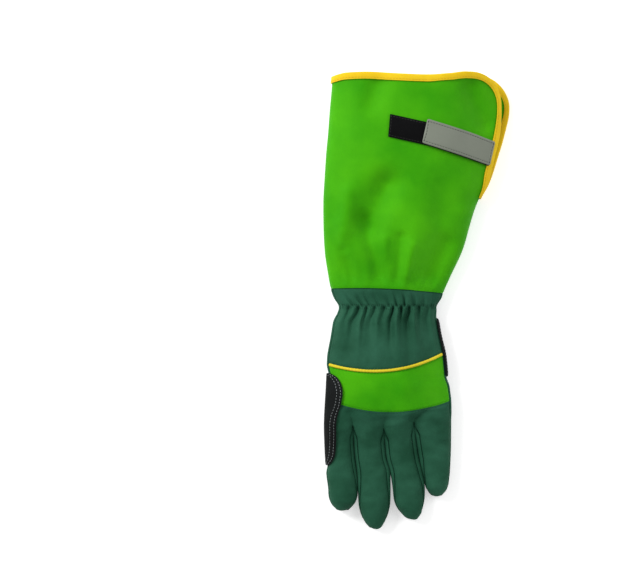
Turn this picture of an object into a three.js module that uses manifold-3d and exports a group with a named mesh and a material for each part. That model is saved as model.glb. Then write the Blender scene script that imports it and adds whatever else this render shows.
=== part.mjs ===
// A rose pruning gauntlet for the left hand, lying palm down with its thumb folded under the palm.
// Every piece is a cloth wall of its real thickness: a surface worked out from the outline, the heights
// and the folds below, then given its wall. While it is modelled, the wrist seam lies on y = 0, the
// fingers point to -y, the mouth of the cuff to +y, and z = 0 is the surface that the glove lies on.
import * as THREE from 'three';
import { mergeVertices } from 'three/addons/utils/BufferGeometryUtils.js';
import Module from 'manifold-3d';

const wasm = await Module();
wasm.setup();

// Flat sizes of the glove, in millimetres
const cuffLength = 194; // wrist seam to the mouth
const mouthWidth = 164; // flat width across the mouth
const seamWidth = 104.4; // flat width where the cuff joins the hand
const wristWidth = 90; // flat width where the elastic draws the wrist in
const knuckleWidth = 117; // flat width over the knuckles
const palmLength = 123; // wrist seam to the roots of the fingers
const cuffBulge = 6.9; // how far the folded side of the cuff bows out
const cornerRadius = 30; // rounded corner between the mouth and the slit
const slitLength = 121; // mouth to the foot of the slit
const slitInset = 4.2; // how far the upper edge of the slit lies inside the lower one
const slitSpread = 14; // length over which the two edges of the slit part in height
const insetSpread = 62; // and over which the upper one moves in
const mouthWave = 3.4; // rise and fall along the mouth

// Heights above the surface that it lies on
const cuffHeight = 38;
const wristHeight = 25;
const backHeight = 34; // over the folded thumb
const littleSideHeight = 24; // over the side of the little finger
const thumbRoom = 14.3; // height of the palm over the folded thumb
const fingerHeight = 18.4;
const fingerSettle = 60; // length over which the fingers come down from the knuckles
const slitEdgeHeight = 13.5; // upper edge of the slit

// Walls and clearances
const cuffWall = 1.4;
const handWall = 1.8;
const patchWall = 1.2; // suede patches and finger caps
const tapeWall = 0.9; // binding tape
const tapeGap = 0.55; // between the tape and the cloth that it folds over
const tapeWidth = 4.9; // how far the tape reaches in from the edge
const seamGap = 0.3; // between pieces that are sewn edge to edge
const patchGap = 0.45; // between a patch and the cloth under it
const thumbGap = 0.75; // between the thumb and the palm above it
const pipingDiameter = 2.6;

// Gathers of the elastic across the back of the wrist
const gatherCount = 11;
const gatherDepth = 1.7;
const gatherAt = 15; // wrist seam to the elastic
const gatherReach = 46; // how far the folds run down the back

// Fingers: length, length of the rounded tip and how far the tip leans to the little side. The edges are
// shares of knuckleWidth from the middle of the hand, at shares of the finger's length.
const fingers = [
  {
    name: 'index', length: 80, tip: 18, lean: -0.6,
    edges: [
      { at: 0.0, left: -0.503, right: -0.278 },
      { at: 0.37, left: -0.493, right: -0.261 },
      { at: 0.56, left: -0.484, right: -0.244 },
      { at: 0.75, left: -0.469, right: -0.24 },
      { at: 1.0, left: -0.462, right: -0.24 },
    ],
  },
  {
    name: 'middle', length: 97, tip: 26, lean: 1.7,
    edges: [
      { at: 0.0, left: -0.278, right: -0.0375 },
      { at: 0.3, left: -0.261, right: -0.017 },
      { at: 0.46, left: -0.244, right: 0.018 },
      { at: 0.62, left: -0.229, right: 0.019 },
      { at: 1.0, left: -0.217, right: 0.009 },
    ],
  },
  {
    name: 'ring', length: 88, tip: 21, lean: 4.6,
    edges: [
      { at: 0.0, left: -0.0375, right: 0.198 },
      { at: 0.34, left: -0.012, right: 0.237 },
      { at: 0.51, left: 0.022, right: 0.268 },
      { at: 0.68, left: 0.042, right: 0.287 },
      { at: 1.0, left: 0.06, right: 0.286 },
    ],
  },
  {
    name: 'little', length: 66.5, tip: 15, lean: 1.2,
    edges: [
      { at: 0.0, left: 0.198, right: 0.499 },
      { at: 0.44, left: 0.243, right: 0.495 },
      { at: 0.67, left: 0.272, right: 0.489 },
      { at: 0.8, left: 0.287, right: 0.482 },
      { at: 1.0, left: 0.279, right: 0.478 },
    ],
  },
];
// Where the fingers part: how far past palmLength, as shares of it, on the back and on the palm
const forks = [
  { back: 0.016, palm: 0.081 },
  { back: 0.0, palm: 0.081 },
  { back: 0.024, palm: 0.09 },
  { back: -0.024, palm: 0.024 },
  { back: -0.008, palm: 0.041 },
];
const forkSeam = 36; // degrees up the finger's side where the gussets start at a fork
const fingerSeam = 45; // degrees up the finger's side where the gussets run
const tipSeam = 6; // degrees up the finger's side where the gussets end
const sideSeam = 14; // degrees up the side where the back meets the palm
const forkReach = 13; // length over which the gussets open out below a fork
const fingerGap = 0.7; // between neighbouring fingers

// Outline of the hand from the wrist seam to the finger roots: at is a share of palmLength; seam goes
// from the wrist's width to the seam's, left and right from the wrist's width to the knuckles'
const handEdges = [
  { at: 0.0, seam: 1.0, left: 0.0, right: 0.0 },
  { at: 0.06, seam: 0.62, left: 0.0, right: 0.0 },
  { at: 0.13, seam: 0.0, left: 0.0, right: 0.0 },
  { at: 0.24, seam: 0.0, left: 0.4, right: 0.19 },
  { at: 0.33, seam: 0.0, left: 0.53, right: 0.33 },
  { at: 0.5, seam: 0.0, left: 0.8, right: 0.67 },
  { at: 0.69, seam: 0.0, left: 0.87, right: 0.83 },
  { at: 0.86, seam: 0.0, left: 0.96, right: 1.0 },
  { at: 1.0, seam: 0.0, left: 1.03, right: 0.99 },
];
// Outline of the cuff: at is a share of cuffLength, bulge of cuffBulge, flare of the widening to the mouth
const cuffEdges = [
  { at: 0.0, bulge: 0.0, flare: 0.0 },
  { at: 0.06, bulge: 0.33, flare: 0.09 },
  { at: 0.19, bulge: 0.84, flare: 0.28 },
  { at: 0.3, bulge: 0.98, flare: 0.385 },
  { at: 0.41, bulge: 1.0, flare: 0.505 },
  { at: 0.51, bulge: 0.9, flare: 0.68 },
  { at: 0.62, bulge: 0.7, flare: 0.8 },
  { at: 0.74, bulge: 0.4, flare: 0.91 },
  { at: 0.85, bulge: 0.13, flare: 0.965 },
  { at: 1.0, bulge: -0.22, flare: 0.97 },
];
// Heights along the glove. side is the level of the side fold, over the top and under the underside,
// each for the thumb's side and the little finger's side.
const cuffLevels = [
  { at: 1.0, sideThumb: 0.47, sideLittle: 0.16, overThumb: 1.0, overLittle: 0.74 },
  { at: 0.7, sideThumb: 0.47, sideLittle: 0.17, overThumb: 1.0, overLittle: 0.76 },
  { at: 0.4, sideThumb: 0.45, sideLittle: 0.18, overThumb: 0.92, overLittle: 0.74 },
  { at: 0.2, sideThumb: 0.39, sideLittle: 0.2, overThumb: 0.82, overLittle: 0.66 },
  { at: 0.08, sideThumb: 0.34, sideLittle: 0.21, overThumb: 0.71, overLittle: 0.58 },
];
const wristLevel = { sideThumb: 0.48, sideLittle: 0.32, overThumb: 1, overLittle: 0.8 };
const handLevels = [
  { at: 0.14, sideThumb: 0.37, sideLittle: 0.38, overThumb: 0.7, overLittle: 0.83, underThumb: 0.21, underLittle: 0.21 },
  { at: 0.24, sideThumb: 0.46, sideLittle: 0.42, overThumb: 0.82, overLittle: 0.92, underThumb: 0.49, underLittle: 0.21 },
  { at: 0.33, sideThumb: 0.54, sideLittle: 0.44, overThumb: 0.91, overLittle: 0.98, underThumb: 0.77, underLittle: 0.23 },
  { at: 0.5, sideThumb: 0.65, sideLittle: 0.48, overThumb: 1.0, overLittle: 1.0, underThumb: 0.98, underLittle: 0.24 },
  { at: 0.69, sideThumb: 0.66, sideLittle: 0.5, overThumb: 1.0, overLittle: 1.0, underThumb: 1.0, underLittle: 0.24 },
  { at: 0.86, sideThumb: 0.62, sideLittle: 0.5, overThumb: 0.94, overLittle: 0.96, underThumb: 0.9, underLittle: 0.24 },
  { at: 1.0, sideThumb: 0.55, sideLittle: 0.46, overThumb: 0.83, overLittle: 0.88, underThumb: 0.8, underLittle: 0.2 },
];
const fingerLevels = [
  { at: 0.35, sideThumb: 0.72, sideLittle: 0.54, overThumb: 1.23, overLittle: 1.03, underThumb: 0.26, underLittle: 0.1 },
  { at: 0.7, sideThumb: 0.57, sideLittle: 0.52, overThumb: 1.08, overLittle: 0.98, underThumb: 0.1, underLittle: 0.1 },
  { at: 1.0, sideThumb: 0.53, sideLittle: 0.5, overThumb: 1.02, overLittle: 0.94, underThumb: 0.09, underLittle: 0.09 },
  { at: 1.7, sideThumb: 0.49, sideLittle: 0.48, overThumb: 0.93, overLittle: 0.88, underThumb: 0.09, underLittle: 0.09 },
];
// Rise of the mouth's edge across the cuff, as shares of mouthWave
const mouthEdge = [
  { across: 0.0, rise: 0.0 },
  { across: 0.08, rise: 0.72 },
  { across: 0.18, rise: 0.82 },
  { across: 0.4, rise: 0.25 },
  { across: 0.55, rise: 0.0 },
  { across: 0.68, rise: 0.42 },
  { across: 0.78, rise: 1.0 },
  { across: 1.0, rise: 1.0 },
];
// Soft dents in the top of the cuff: place and size as shares of its width and length, depth of cuffHeight
const cuffDents = [
  { across: 0.26, along: 0.37, wide: 0.08, tall: 0.11, depth: 0.1 },
  { across: 0.36, along: 0.48, wide: 0.09, tall: 0.08, depth: 0.06 },
  { across: 0.47, along: 0.15, wide: 0.05, tall: 0.14, depth: 0.05 },
  { across: 0.78, along: 0.2, wide: 0.07, tall: 0.15, depth: 0.07 },
  { across: 0.62, along: 0.17, wide: 0.06, tall: 0.13, depth: -0.04 },
  { across: 0.82, along: 0.84, wide: 0.06, tall: 0.12, depth: 0.06 },
  { across: 0.28, along: 0.93, wide: 0.06, tall: 0.12, depth: 0.04 },
];
// Seams across the hand: how far below the wrist seam they lie at the thumb's side, the middle and the
// little finger's side, as shares of palmLength
const wristSeam = { left: -0.012, middle: -0.012, right: 0.024 };
const pipingSeam = { left: 0.546, middle: 0.592, right: 0.469 };
const knuckleSeam = { left: 0.812, middle: 0.902, right: 0.82 };

// Thumb, folded under the palm: its outline in shares of palmLength below the wrist seam and of
// knuckleWidth from the middle of the hand
const thumbShape = [
  { along: 0.2, left: -0.3, right: -0.2 },
  { along: 0.23, left: -0.385, right: -0.155 },
  { along: 0.32, left: -0.425, right: -0.115 },
  { along: 0.45, left: -0.438, right: -0.03 },
  { along: 0.57, left: -0.432, right: 0.055 },
  { along: 0.66, left: -0.39, right: 0.122 },
  { along: 0.74, left: -0.27, right: 0.178 },
  { along: 0.84, left: -0.17, right: 0.228 },
  { along: 0.92, left: -0.1, right: 0.232 },
  { along: 0.975, left: -0.04, right: 0.2 },
  { along: 1.0, left: 0.04, right: 0.14 },
];
const thumbCapFrom = 0.77; // share of palmLength where the thumb's black cap starts
const thumbHole = { across: -0.27, along: 0.42, length: 40, width: 27, turn: 20 };
const thumbEnd = 10; // length over which the thumb's ends round off

// Black patches on the palm. heelPatch reaches the side seam: around is the share of the palm's girth from
// the thumb's side, from and to are shares of palmLength. ballPatch is outlined like the thumb.
const heelPatch = [
  { around: 0.533, from: 0.545, to: 0.6 },
  { around: 0.546, from: 0.49, to: 0.622 },
  { around: 0.558, from: 0.435, to: 0.65 },
  { around: 0.575, from: 0.325, to: 0.69 },
  { around: 0.59, from: 0.225, to: 0.712 },
  { around: 0.625, from: 0.125, to: 0.722 },
  { around: 0.667, from: 0.1, to: 0.718 },
  { around: 0.708, from: 0.125, to: 0.702 },
  { around: 0.75, from: 0.152, to: 0.69 },
  { around: 0.792, from: 0.175, to: 0.677 },
  { around: 0.833, from: 0.192, to: 0.664 },
  { around: 0.875, from: 0.207, to: 0.653 },
  { around: 0.917, from: 0.217, to: 0.645 },
  { around: 0.958, from: 0.222, to: 0.638 },
  { around: 1, from: 0.225, to: 0.635 },
];
const ballPatch = [
  { along: 0.185, left: -0.04, right: 0.027 },
  { along: 0.225, left: -0.122, right: 0.06 },
  { along: 0.285, left: -0.12, right: 0.056 },
  { along: 0.35, left: -0.09, right: 0.04 },
  { along: 0.41, left: -0.05, right: 0.02 },
  { along: 0.46, left: -0.018, right: 0.004 },
];
// rootPatch runs across the finger roots, its lower edge in one lobe for each finger
const rootPatch = [
  { across: -0.37, from: 0.69, to: 0.74 },
  { across: -0.33, from: 0.7, to: 0.8 },
  { across: -0.29, from: 0.72, to: 0.88 },
  { across: -0.25, from: 0.745, to: 0.925 },
  { across: -0.2, from: 0.765, to: 0.99 },
  { across: -0.158, from: 0.775, to: 1.06 },
  { across: -0.11, from: 0.785, to: 1.045 },
  { across: -0.06, from: 0.785, to: 0.975 },
  { across: 0, from: 0.785, to: 0.975 },
  { across: 0.04, from: 0.78, to: 1.03 },
  { across: 0.079, from: 0.775, to: 1.055 },
  { across: 0.12, from: 0.77, to: 1.02 },
  { across: 0.155, from: 0.765, to: 0.93 },
  { across: 0.21, from: 0.757, to: 0.885 },
  { across: 0.26, from: 0.75, to: 0.885 },
  { across: 0.3, from: 0.75, to: 0.888 },
  { across: 0.34, from: 0.75, to: 0.94 },
  { across: 0.385, from: 0.757, to: 0.975 },
  { across: 0.43, from: 0.785, to: 0.945 },
  { across: 0.458, from: 0.835, to: 0.89 },
];
// indexPatch wraps the outer side of the index finger: back and palm are shares of indexWidth in from
// the side seam
const indexWidth = 25.4;
const indexPatch = [
  { along: 0.615, back: 0.03, palm: 0.02 },
  { along: 0.645, back: 0.25, palm: 0.1 },
  { along: 0.7, back: 0.41, palm: 0.27 },
  { along: 0.76, back: 0.47, palm: 0.4 },
  { along: 0.845, back: 0.44, palm: 0.47 },
  { along: 0.9, back: 0.385, palm: 0.55 },
  { along: 0.95, back: 0.355, palm: 0.61 },
  { along: 1.03, back: 0.345, palm: 0.7 },
  { along: 1.12, back: 0.33, palm: 0.7 },
  { along: 1.217, back: 0.28, palm: 0.6 },
  { along: 1.27, back: 0.18, palm: 0.42 },
  { along: 1.305, back: 0.04, palm: 0.18 },
];
const capLength = 32; // finger's black cap, from its seam to the tip

// Closing strap on the back of the cuff
const padLength = 52;
const padWidth = 20.6;
const padTurn = -12.6; // degrees
const padSlant = -5; // degrees, of its short sides
const tabLength = 64.2;
const tabWidth = 22.2;
const tabTurn = -17.2; // degrees
const tabSlant = -12.6; // degrees, of its short sides
const tabWall = 1.4;
// Middles of the tab and the pad, in shares of mouthWidth from the folded side and of cuffLength
const tabMiddle = { across: 0.7024, along: 0.694 };
const padMiddle = { across: 0.475, along: 0.7395 };

// How finely the pieces are faceted
const fingerColumns = 6;
const columns = fingerColumns * fingers.length;
const gatherColumns = 4 * gatherCount;
const cuffAngles = [...turns(14, 0, -Math.PI), ...turns(22, -Math.PI, -2 * Math.PI).slice(1)];
const palmDepths = [0, 0.07, 0.14, 0.25, 0.39, 0.55, 0.71, 0.83, 0.92, 1];

const roundness = 2.4; // of the hand's and the cuff's cross-section, 2 being an ellipse
const openEdge = 1.7; // the same where the slit's free edges lie flatter
const seamAngle = 0.024; // half of the gap at a lengthwise seam, in radians
const radians = THREE.MathUtils.degToRad;
const mix = THREE.MathUtils.lerp;
const ease = (t) => THREE.MathUtils.smoothstep(t, 0, 1);
const signedPower = (v, power) => Math.sign(v) * Math.abs(v) ** power;

function turns(count, from = 0, to = 1) {
  return Array.from({ length: count + 1 }, (_, k) => from + ((to - from) * k) / count);
}

// A smooth value of one column of a table, which never overshoots its rows.
function follow(rows, along, column, at) {
  const x = rows.map((row) => row[along]);
  const y = rows.map((row) => row[column]);
  const last = rows.length - 1;
  if (at <= x[0]) return y[0];
  if (at >= x[last]) return y[last];
  const rise = (k) => (y[k + 1] - y[k]) / (x[k + 1] - x[k]);
  const slope = (k) => {
    if (k === 0 || k === last) return rise(k === 0 ? 0 : last - 1);
    const [before, after] = [rise(k - 1), rise(k)];
    return before * after <= 0 ? 0 : (2 * before * after) / (before + after);
  };
  const k = x.findIndex((value) => value > at) - 1;
  const step = x[k + 1] - x[k];
  const t = (at - x[k]) / step;
  return mix(y[k], y[k + 1], t * t * (3 - 2 * t))
    + step * (t * (1 - t) * (1 - t) * slope(k) - t * t * (1 - t) * slope(k + 1));
}

// Cloth under a patch that wraps a side lies further in, so that the patch keeps the outline.
const patchRise = patchWall + 2 * patchGap;
function underPatch(from, to, y) {
  const ramp = 0.09 * palmLength;
  return patchRise * ease((ramp - from * palmLength - y) / ramp) * ease((ramp + y + to * palmLength) / ramp);
}
const underIndexPatch = (y) => underPatch(indexPatch[0].along + 0.02, indexPatch.at(-1).along - 0.02, y);
const underHeelPatch = (y) => underPatch(heelPatch.at(-1).from, heelPatch.at(-1).to, y);

// Outline at y: its edges at the thumb's side and the little finger's side
function edgesAt(y) {
  if (y >= 0) {
    const at = y / cuffLength;
    return {
      left: -seamWidth / 2 - cuffBulge * follow(cuffEdges, 'at', 'bulge', at),
      right: seamWidth / 2 + (mouthWidth - seamWidth) * follow(cuffEdges, 'at', 'flare', at),
    };
  }
  const at = -y / palmLength;
  const neck = (wristWidth + (seamWidth - wristWidth) * follow(handEdges, 'at', 'seam', at)) / 2;
  const swell = (knuckleWidth - wristWidth) / 2;
  return {
    left: -neck - swell * follow(handEdges, 'at', 'left', at) + underIndexPatch(y),
    right: neck + swell * follow(handEdges, 'at', 'right', at) - underHeelPatch(y),
  };
}

// Heights at y, from the tables above
function scaledLevel(row, y, thumbScale, littleScale, underScale) {
  return {
    y,
    sideThumb: row.sideThumb * thumbScale,
    sideLittle: row.sideLittle * littleScale,
    overThumb: row.overThumb * thumbScale,
    overLittle: row.overLittle * littleScale,
    underThumb: (row.underThumb ?? 0) * underScale,
    underLittle: (row.underLittle ?? 0) * underScale,
  };
}
const fingerRow = (row) => scaledLevel(
  row, -palmLength - row.at * fingerSettle, fingerHeight, fingerHeight, fingerHeight,
);
const handRow = (row) => scaledLevel(row, -row.at * palmLength, backHeight, littleSideHeight, thumbRoom);
const cuffRow = (row) => scaledLevel(row, row.at * cuffLength, cuffHeight, cuffHeight, 0);
const levels = [
  ...fingerLevels.map(fingerRow).reverse(),
  ...handLevels.map(handRow).reverse(),
  scaledLevel(wristLevel, 0, wristHeight, wristHeight, 0),
  ...cuffLevels.map(cuffRow).reverse(),
];

const slitFoot = cuffLength - slitLength;
const slitOpen = (y) => ease((y - slitFoot) / slitSpread);
const insetAt = (y) => slitInset * ease((y - slitFoot) / insetSpread);
const tapeLift = tapeWall + tapeGap;

// Level of the side fold, the top or the underside at a place across the glove
function levelAt(kind, share, y, layer) {
  const at = (column) => follow(levels, 'y', kind + column, y);
  let little = at('Little');
  if (kind === 'side' && layer === 'upper') little = mix(little, slitEdgeHeight, slitOpen(y));
  if (kind === 'side' && layer === 'lower') little = mix(little, 2 * tapeLift, slitOpen(y));
  const lift = kind === 'under' ? tapeLift * ease((y - cuffLength + 4 * tapeWidth) / (2.5 * tapeWidth)) : 0;
  return mix(at('Thumb'), little, ease((share - 0.6) / 0.4)) + lift;
}

const shareOf = (angle) => (1 + signedPower(Math.cos(angle), 2 / roundness)) / 2;
const angleOf = (share) => Math.acos(signedPower(2 * share - 1, roundness / 2));

// A point of the body's cross-section: angle 0 is the little finger's side, 90 degrees the top
function sectionPoint(angle, y, layer = 'closed') {
  const { left, right } = edgesAt(y);
  const edge = layer === 'upper' ? right - insetAt(y) : right;
  const share = shareOf(angle);
  const side = levelAt('side', share, y, layer);
  const free = layer === 'closed' ? 0 : slitOpen(y) * ease((Math.cos(angle) - 0.45) / 0.5);
  const arch = Math.abs(Math.sin(angle)) ** mix(2 / roundness, openEdge, free);
  const z = Math.sin(angle) >= 0
    ? mix(side, levelAt('over', share, y) - dentAt(share, y), arch)
    : mix(side, levelAt('under', share, y), Math.min(1, 1.25 * arch));
  return new THREE.Vector3(mix(left, edge, share), y, z);
}

function dentAt(share, y) {
  if (y <= 0) return 0;
  return cuffDents.reduce((sum, dent) => {
    const dx = (share - dent.across) / dent.wide;
    const dy = (y / cuffLength - dent.along) / dent.tall;
    return sum + dent.depth * cuffHeight * Math.exp(-(dx * dx + dy * dy));
  }, 0);
}

// The y of a curved seam at a share of the width
function seamAt(seam, share) {
  const u = 2 * share - 1;
  const tilt = (seam.right - seam.left) / 2;
  const bow = (seam.right + seam.left) / 2 - seam.middle;
  return -palmLength * (seam.middle + tilt * u + bow * u * u);
}

// Middle, half width and rounding of a finger at y
function fingerAt(index, y) {
  const { length, tip, lean, edges } = fingers[index];
  const at = THREE.MathUtils.clamp((-palmLength - y) / length, 0, 1);
  const edge = (column) => knuckleWidth * follow(edges, 'at', column, at);
  const left = edge('left') + (index === 0 ? underIndexPatch(y) : fingerGap / 2);
  const right = edge('right') - (index === fingers.length - 1 ? 0 : fingerGap / 2);
  const beyond = Math.max(0, 1 - (1 - at) * (length / tip));
  const round = Math.sqrt(1 - beyond * beyond);
  return { at, middle: (left + right) / 2 + lean * (1 - round), half: (right - left) / 2, round };
}

function forkAt(side, column) {
  const at = Math.min(column / fingerColumns, fingers.length - 1e-9);
  const k = Math.floor(at);
  return -palmLength * (1 + mix(forks[k][side], forks[k + 1][side], at - k));
}

// Angle up a finger's inner sides where the gussets meet the back and the palm
function gussetAngle(index, side, y) {
  const below = forkAt(side, fingerColumns * (index + 0.5)) - y;
  const { at } = fingerAt(index, y);
  const open = mix(forkSeam, fingerSeam, ease(below / forkReach));
  return radians(mix(mix(open, tipSeam, ease((at - 0.45) / 0.45)), 0.5, ease((at - 0.92) / 0.05)));
}

// A point of a finger's cross-section
function fingerPoint(index, angle, y) {
  const { middle, half, round } = fingerAt(index, y);
  const x = middle + half * round * Math.cos(angle);
  const share = x / knuckleWidth + 0.5;
  const side = levelAt('side', share, y) - 2 * (1 - round);
  const over = levelAt('over', share, y);
  const reach = Math.sin(angle) >= 0 ? over - side : side - levelAt('under', share, y);
  return new THREE.Vector3(x, y, side + reach * round * Math.sin(angle));
}

// Angles where the back or the palm of a finger starts and ends
function fingerSpan(index, side, y) {
  const inner = gussetAngle(index, side, y) + seamAngle;
  const [outer, between] = side === 'back'
    ? [radians(sideSeam) + seamAngle, inner]
    : [radians(sideSeam) - seamAngle, -inner];
  const first = index === 0 ? outer : between;
  const last = index === fingers.length - 1 ? outer : between;
  return [Math.PI - first, side === 'back' ? last : 2 * Math.PI + last];
}

// Near a fork, neighbouring fingers are drawn together so that their seams meet in one point.
function joinedFingerPoint(side, index, across, y) {
  const [start, end] = fingerSpan(index, side, y);
  const point = fingerPoint(index, mix(start, end, across), y);
  const right = across > 0.5;
  const neighbour = index + (right ? 1 : -1);
  if (neighbour < 0 || neighbour >= fingers.length) return point;
  const pull = 1 - ease((forkAt(side, fingerColumns * (right ? index + 1 : index)) - y) / forkReach);
  if (pull <= 0) return point;
  const own = fingerPoint(index, right ? end : start, y);
  const [otherStart, otherEnd] = fingerSpan(neighbour, side, y);
  const meeting = fingerPoint(neighbour, right ? otherStart : otherEnd, y).lerp(own, 0.5);
  return point.addScaledVector(meeting.sub(own), pull * (2 * across - 1) ** 2);
}

// A point of the back or the palm: column runs from the thumb's side to the little finger's side
const sideEdge = (side) => radians(sideSeam) + (side === 'back' ? seamAngle : -seamAngle);
const columnAngle = (side, column) => mix(
  Math.PI - sideEdge(side), side === 'back' ? sideEdge(side) : 2 * Math.PI + sideEdge(side), column / columns,
);
const lastFinger = (column) => Math.min(Math.floor(column / fingerColumns), fingers.length - 1);

function handPoint(side, column, y, index = lastFinger(column)) {
  const webTop = -palmLength * (side === 'back' ? 0.85 : 0.91);
  const blend = ease((webTop - y) / (webTop - forkAt(side, column)));
  if (blend <= 0) return sectionPoint(columnAngle(side, column), y);
  const finger = joinedFingerPoint(side, index, column / fingerColumns - index, y);
  return blend >= 1 ? finger : sectionPoint(columnAngle(side, column), y).lerp(finger, blend);
}

// The column at a place across the back or the palm
function columnAt(side, x, y, end = columns) {
  let [low, high] = [0, end];
  for (let k = 0; k < 24; k++) {
    const middle = (low + high) / 2;
    if (handPoint(side, middle, y).x < x) low = middle;
    else high = middle;
  }
  return (low + high) / 2;
}
const palmAt = (x, y) => handPoint('palm', columnAt('palm', x, y), y);

// A sheet of the cuff over a place in plan
function cuffSheet(layer, x, y) {
  const { left, right } = edgesAt(y);
  const edge = layer === 'upper' ? right - insetAt(y) : right;
  const angle = angleOf(THREE.MathUtils.clamp((x - left) / (edge - left), 0, 1));
  return sectionPoint(layer === 'upper' ? angle : -angle, y, layer);
}

// A surface of welded triangles that faces outwards. Each point keeps the cloth's own normal, so that the
// walls on both sides of a seam stay parallel.
class Surface {
  constructor() {
    this.points = [];
    this.normals = [];
    this.faces = [];
    this.places = new Map();
  }

  point(p, normal) {
    const key = p.toArray().map((v) => Math.round(v * 500)).join();
    if (!this.places.has(key)) {
      this.places.set(key, this.points.push(p) - 1);
      this.normals.push(new THREE.Vector3());
    }
    const place = this.places.get(key);
    this.normals[place].add(normal);
    return place;
  }

  face(a, b, c) {
    if (a !== b && b !== c && c !== a) this.faces.push([a, b, c]);
  }

  grid(shape, us, vs, turned = false) {
    const near = (values, k) => 0.01 * (values[k === 0 ? 1 : k] - values[k === 0 ? 0 : k - 1]);
    const ids = vs.map((v, i) => us.map((u, j) => {
      const [du, dv] = [near(us, j), near(vs, i)];
      const [u0, u1] = [j === 0 ? u : u - du, j === us.length - 1 ? u : u + du];
      const [v0, v1] = [i === 0 ? v : v - dv, i === vs.length - 1 ? v : v + dv];
      const beside = v1 === v ? v0 : v1;
      const across = shape(u1, v0 === v ? v1 : (v1 === v ? v0 : v)).sub(shape(u0, v0 === v ? v1 : (v1 === v ? v0 : v)));
      const down = shape(u, v1).sub(shape(u, v0));
      const normal = turned ? down.cross(across) : across.cross(down);
      return this.point(shape(u, v), normal.normalize());
    }));
    for (let i = 0; i + 1 < ids.length; i++) {
      for (let j = 0; j + 1 < ids[i].length; j++) {
        const corners = [ids[i][j], ids[i][j + 1], ids[i + 1][j + 1], ids[i + 1][j]];
        if (turned) corners.reverse();
        this.face(corners[0], corners[1], corners[2]);
        this.face(corners[0], corners[2], corners[3]);
      }
    }
    return this;
  }

  moved(distance) {
    return this.points.map((p, k) => p.clone().addScaledVector(this.normals[k].clone().normalize(), distance));
  }
}

// The wall between a surface moved out by lift and the same surface moved in by wall from there
function wallOf(surface, lift, wall, inside = surface.moved(lift - wall)) {
  const outside = lift === 0 ? surface.points : surface.moved(lift);
  const count = outside.length;
  const triangles = [];
  const edges = new Map();
  for (const [a, b, c] of surface.faces) {
    triangles.push(a, b, c, count + a, count + c, count + b);
    for (const [from, to] of [[a, b], [b, c], [c, a]]) {
      if (!edges.delete(`${to},${from}`)) edges.set(`${from},${to}`, [from, to]);
    }
  }
  for (const [from, to] of edges.values()) {
    triangles.push(to, from, count + from, to, count + from, count + to);
  }
  return geometryOf([...outside, ...inside], triangles);
}

function geometryOf(points, triangles) {
  const geometry = new THREE.BufferGeometry();
  geometry.setAttribute('position', new THREE.Float32BufferAttribute(points.flatMap((p) => p.toArray()), 3));
  geometry.setIndex(triangles);
  return geometry;
}

// A closed solid from rings of points
function sweptGeometry(rings) {
  const size = rings[0].length;
  const triangles = [];
  for (let i = 0; i + 1 < rings.length; i++) {
    for (let j = 0; j < size; j++) {
      const [a, b] = [i * size + j, i * size + ((j + 1) % size)];
      triangles.push(a, b, b + size, a, b + size, a + size);
    }
  }
  const last = (rings.length - 1) * size;
  const [first, second] = [flatRing(rings[0]), flatRing(rings.at(-1))];
  for (const [a, b, c] of THREE.ShapeUtils.triangulateShape(first, [])) {
    triangles.push(...(THREE.ShapeUtils.isClockWise(first) ? [a, b, c] : [a, c, b]));
  }
  for (const [a, b, c] of THREE.ShapeUtils.triangulateShape(second, [])) {
    triangles.push(...(THREE.ShapeUtils.isClockWise(second) ? [last + a, last + c, last + b] : [last + a, last + b, last + c]));
  }
  return facingOut(geometryOf(rings.flat(), triangles));
}

// A ring's points in its own plane
function flatRing(ring) {
  const u = ring[1].clone().sub(ring[0]).normalize();
  const normal = new THREE.Vector3();
  ring.forEach((p, k) => normal.add(p.clone().cross(ring[(k + 1) % ring.length])));
  const v = normal.normalize().cross(u);
  return ring.map((p) => new THREE.Vector2(p.dot(u), p.dot(v)));
}

function facingOut(geometry) {
  const corner = (k) => new THREE.Vector3().fromBufferAttribute(geometry.attributes.position, k);
  const index = [...geometry.index.array];
  let volume = 0;
  for (let k = 0; k < index.length; k += 3) {
    volume += corner(index[k]).dot(corner(index[k + 1]).cross(corner(index[k + 2])));
  }
  if (volume < 0) geometry.setIndex(index.reverse());
  return geometry;
}

// Booleans on closed geometries
function solidOf(geometry) {
  const bare = geometry.clone();
  bare.deleteAttribute('normal');
  bare.deleteAttribute('uv');
  const { attributes, index } = mergeVertices(bare, 1e-4);
  const triVerts = new Uint32Array(index.array);
  return new wasm.Manifold(new wasm.Mesh({ numProp: 3, vertProperties: attributes.position.array, triVerts }));
}

function geometryFrom(solid) {
  const { vertProperties, triVerts } = solid.getMesh();
  const geometry = new THREE.BufferGeometry();
  geometry.setAttribute('position', new THREE.BufferAttribute(vertProperties, 3));
  geometry.setIndex(new THREE.BufferAttribute(triVerts, 1));
  return geometry;
}

// Finishes, from the photograph
const cloth = (color, roughness) => new THREE.MeshStandardMaterial({ color, roughness, metalness: 0 });
const finishes = {
  brightGreen: cloth(0x45ad1c, 0.8),
  darkGreen: cloth(0x2a5f47, 0.75),
  yellow: cloth(0xe3b924, 0.7),
  black: cloth(0x16181b, 0.85),
  grey: cloth(0x8c8e89, 0.45),
};

const glove = new THREE.Group();
function sew(name, geometry, finish) {
  const mesh = new THREE.Mesh(geometry, finish);
  mesh.name = name;
  glove.add(mesh);
}

// Cuff: one sheet from the slit's lower edge round the folded side to its upper edge, closed in a seam
// below the slit
const cuffFoot = (share) => seamAt(wristSeam, share) + seamGap / 2;

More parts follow.
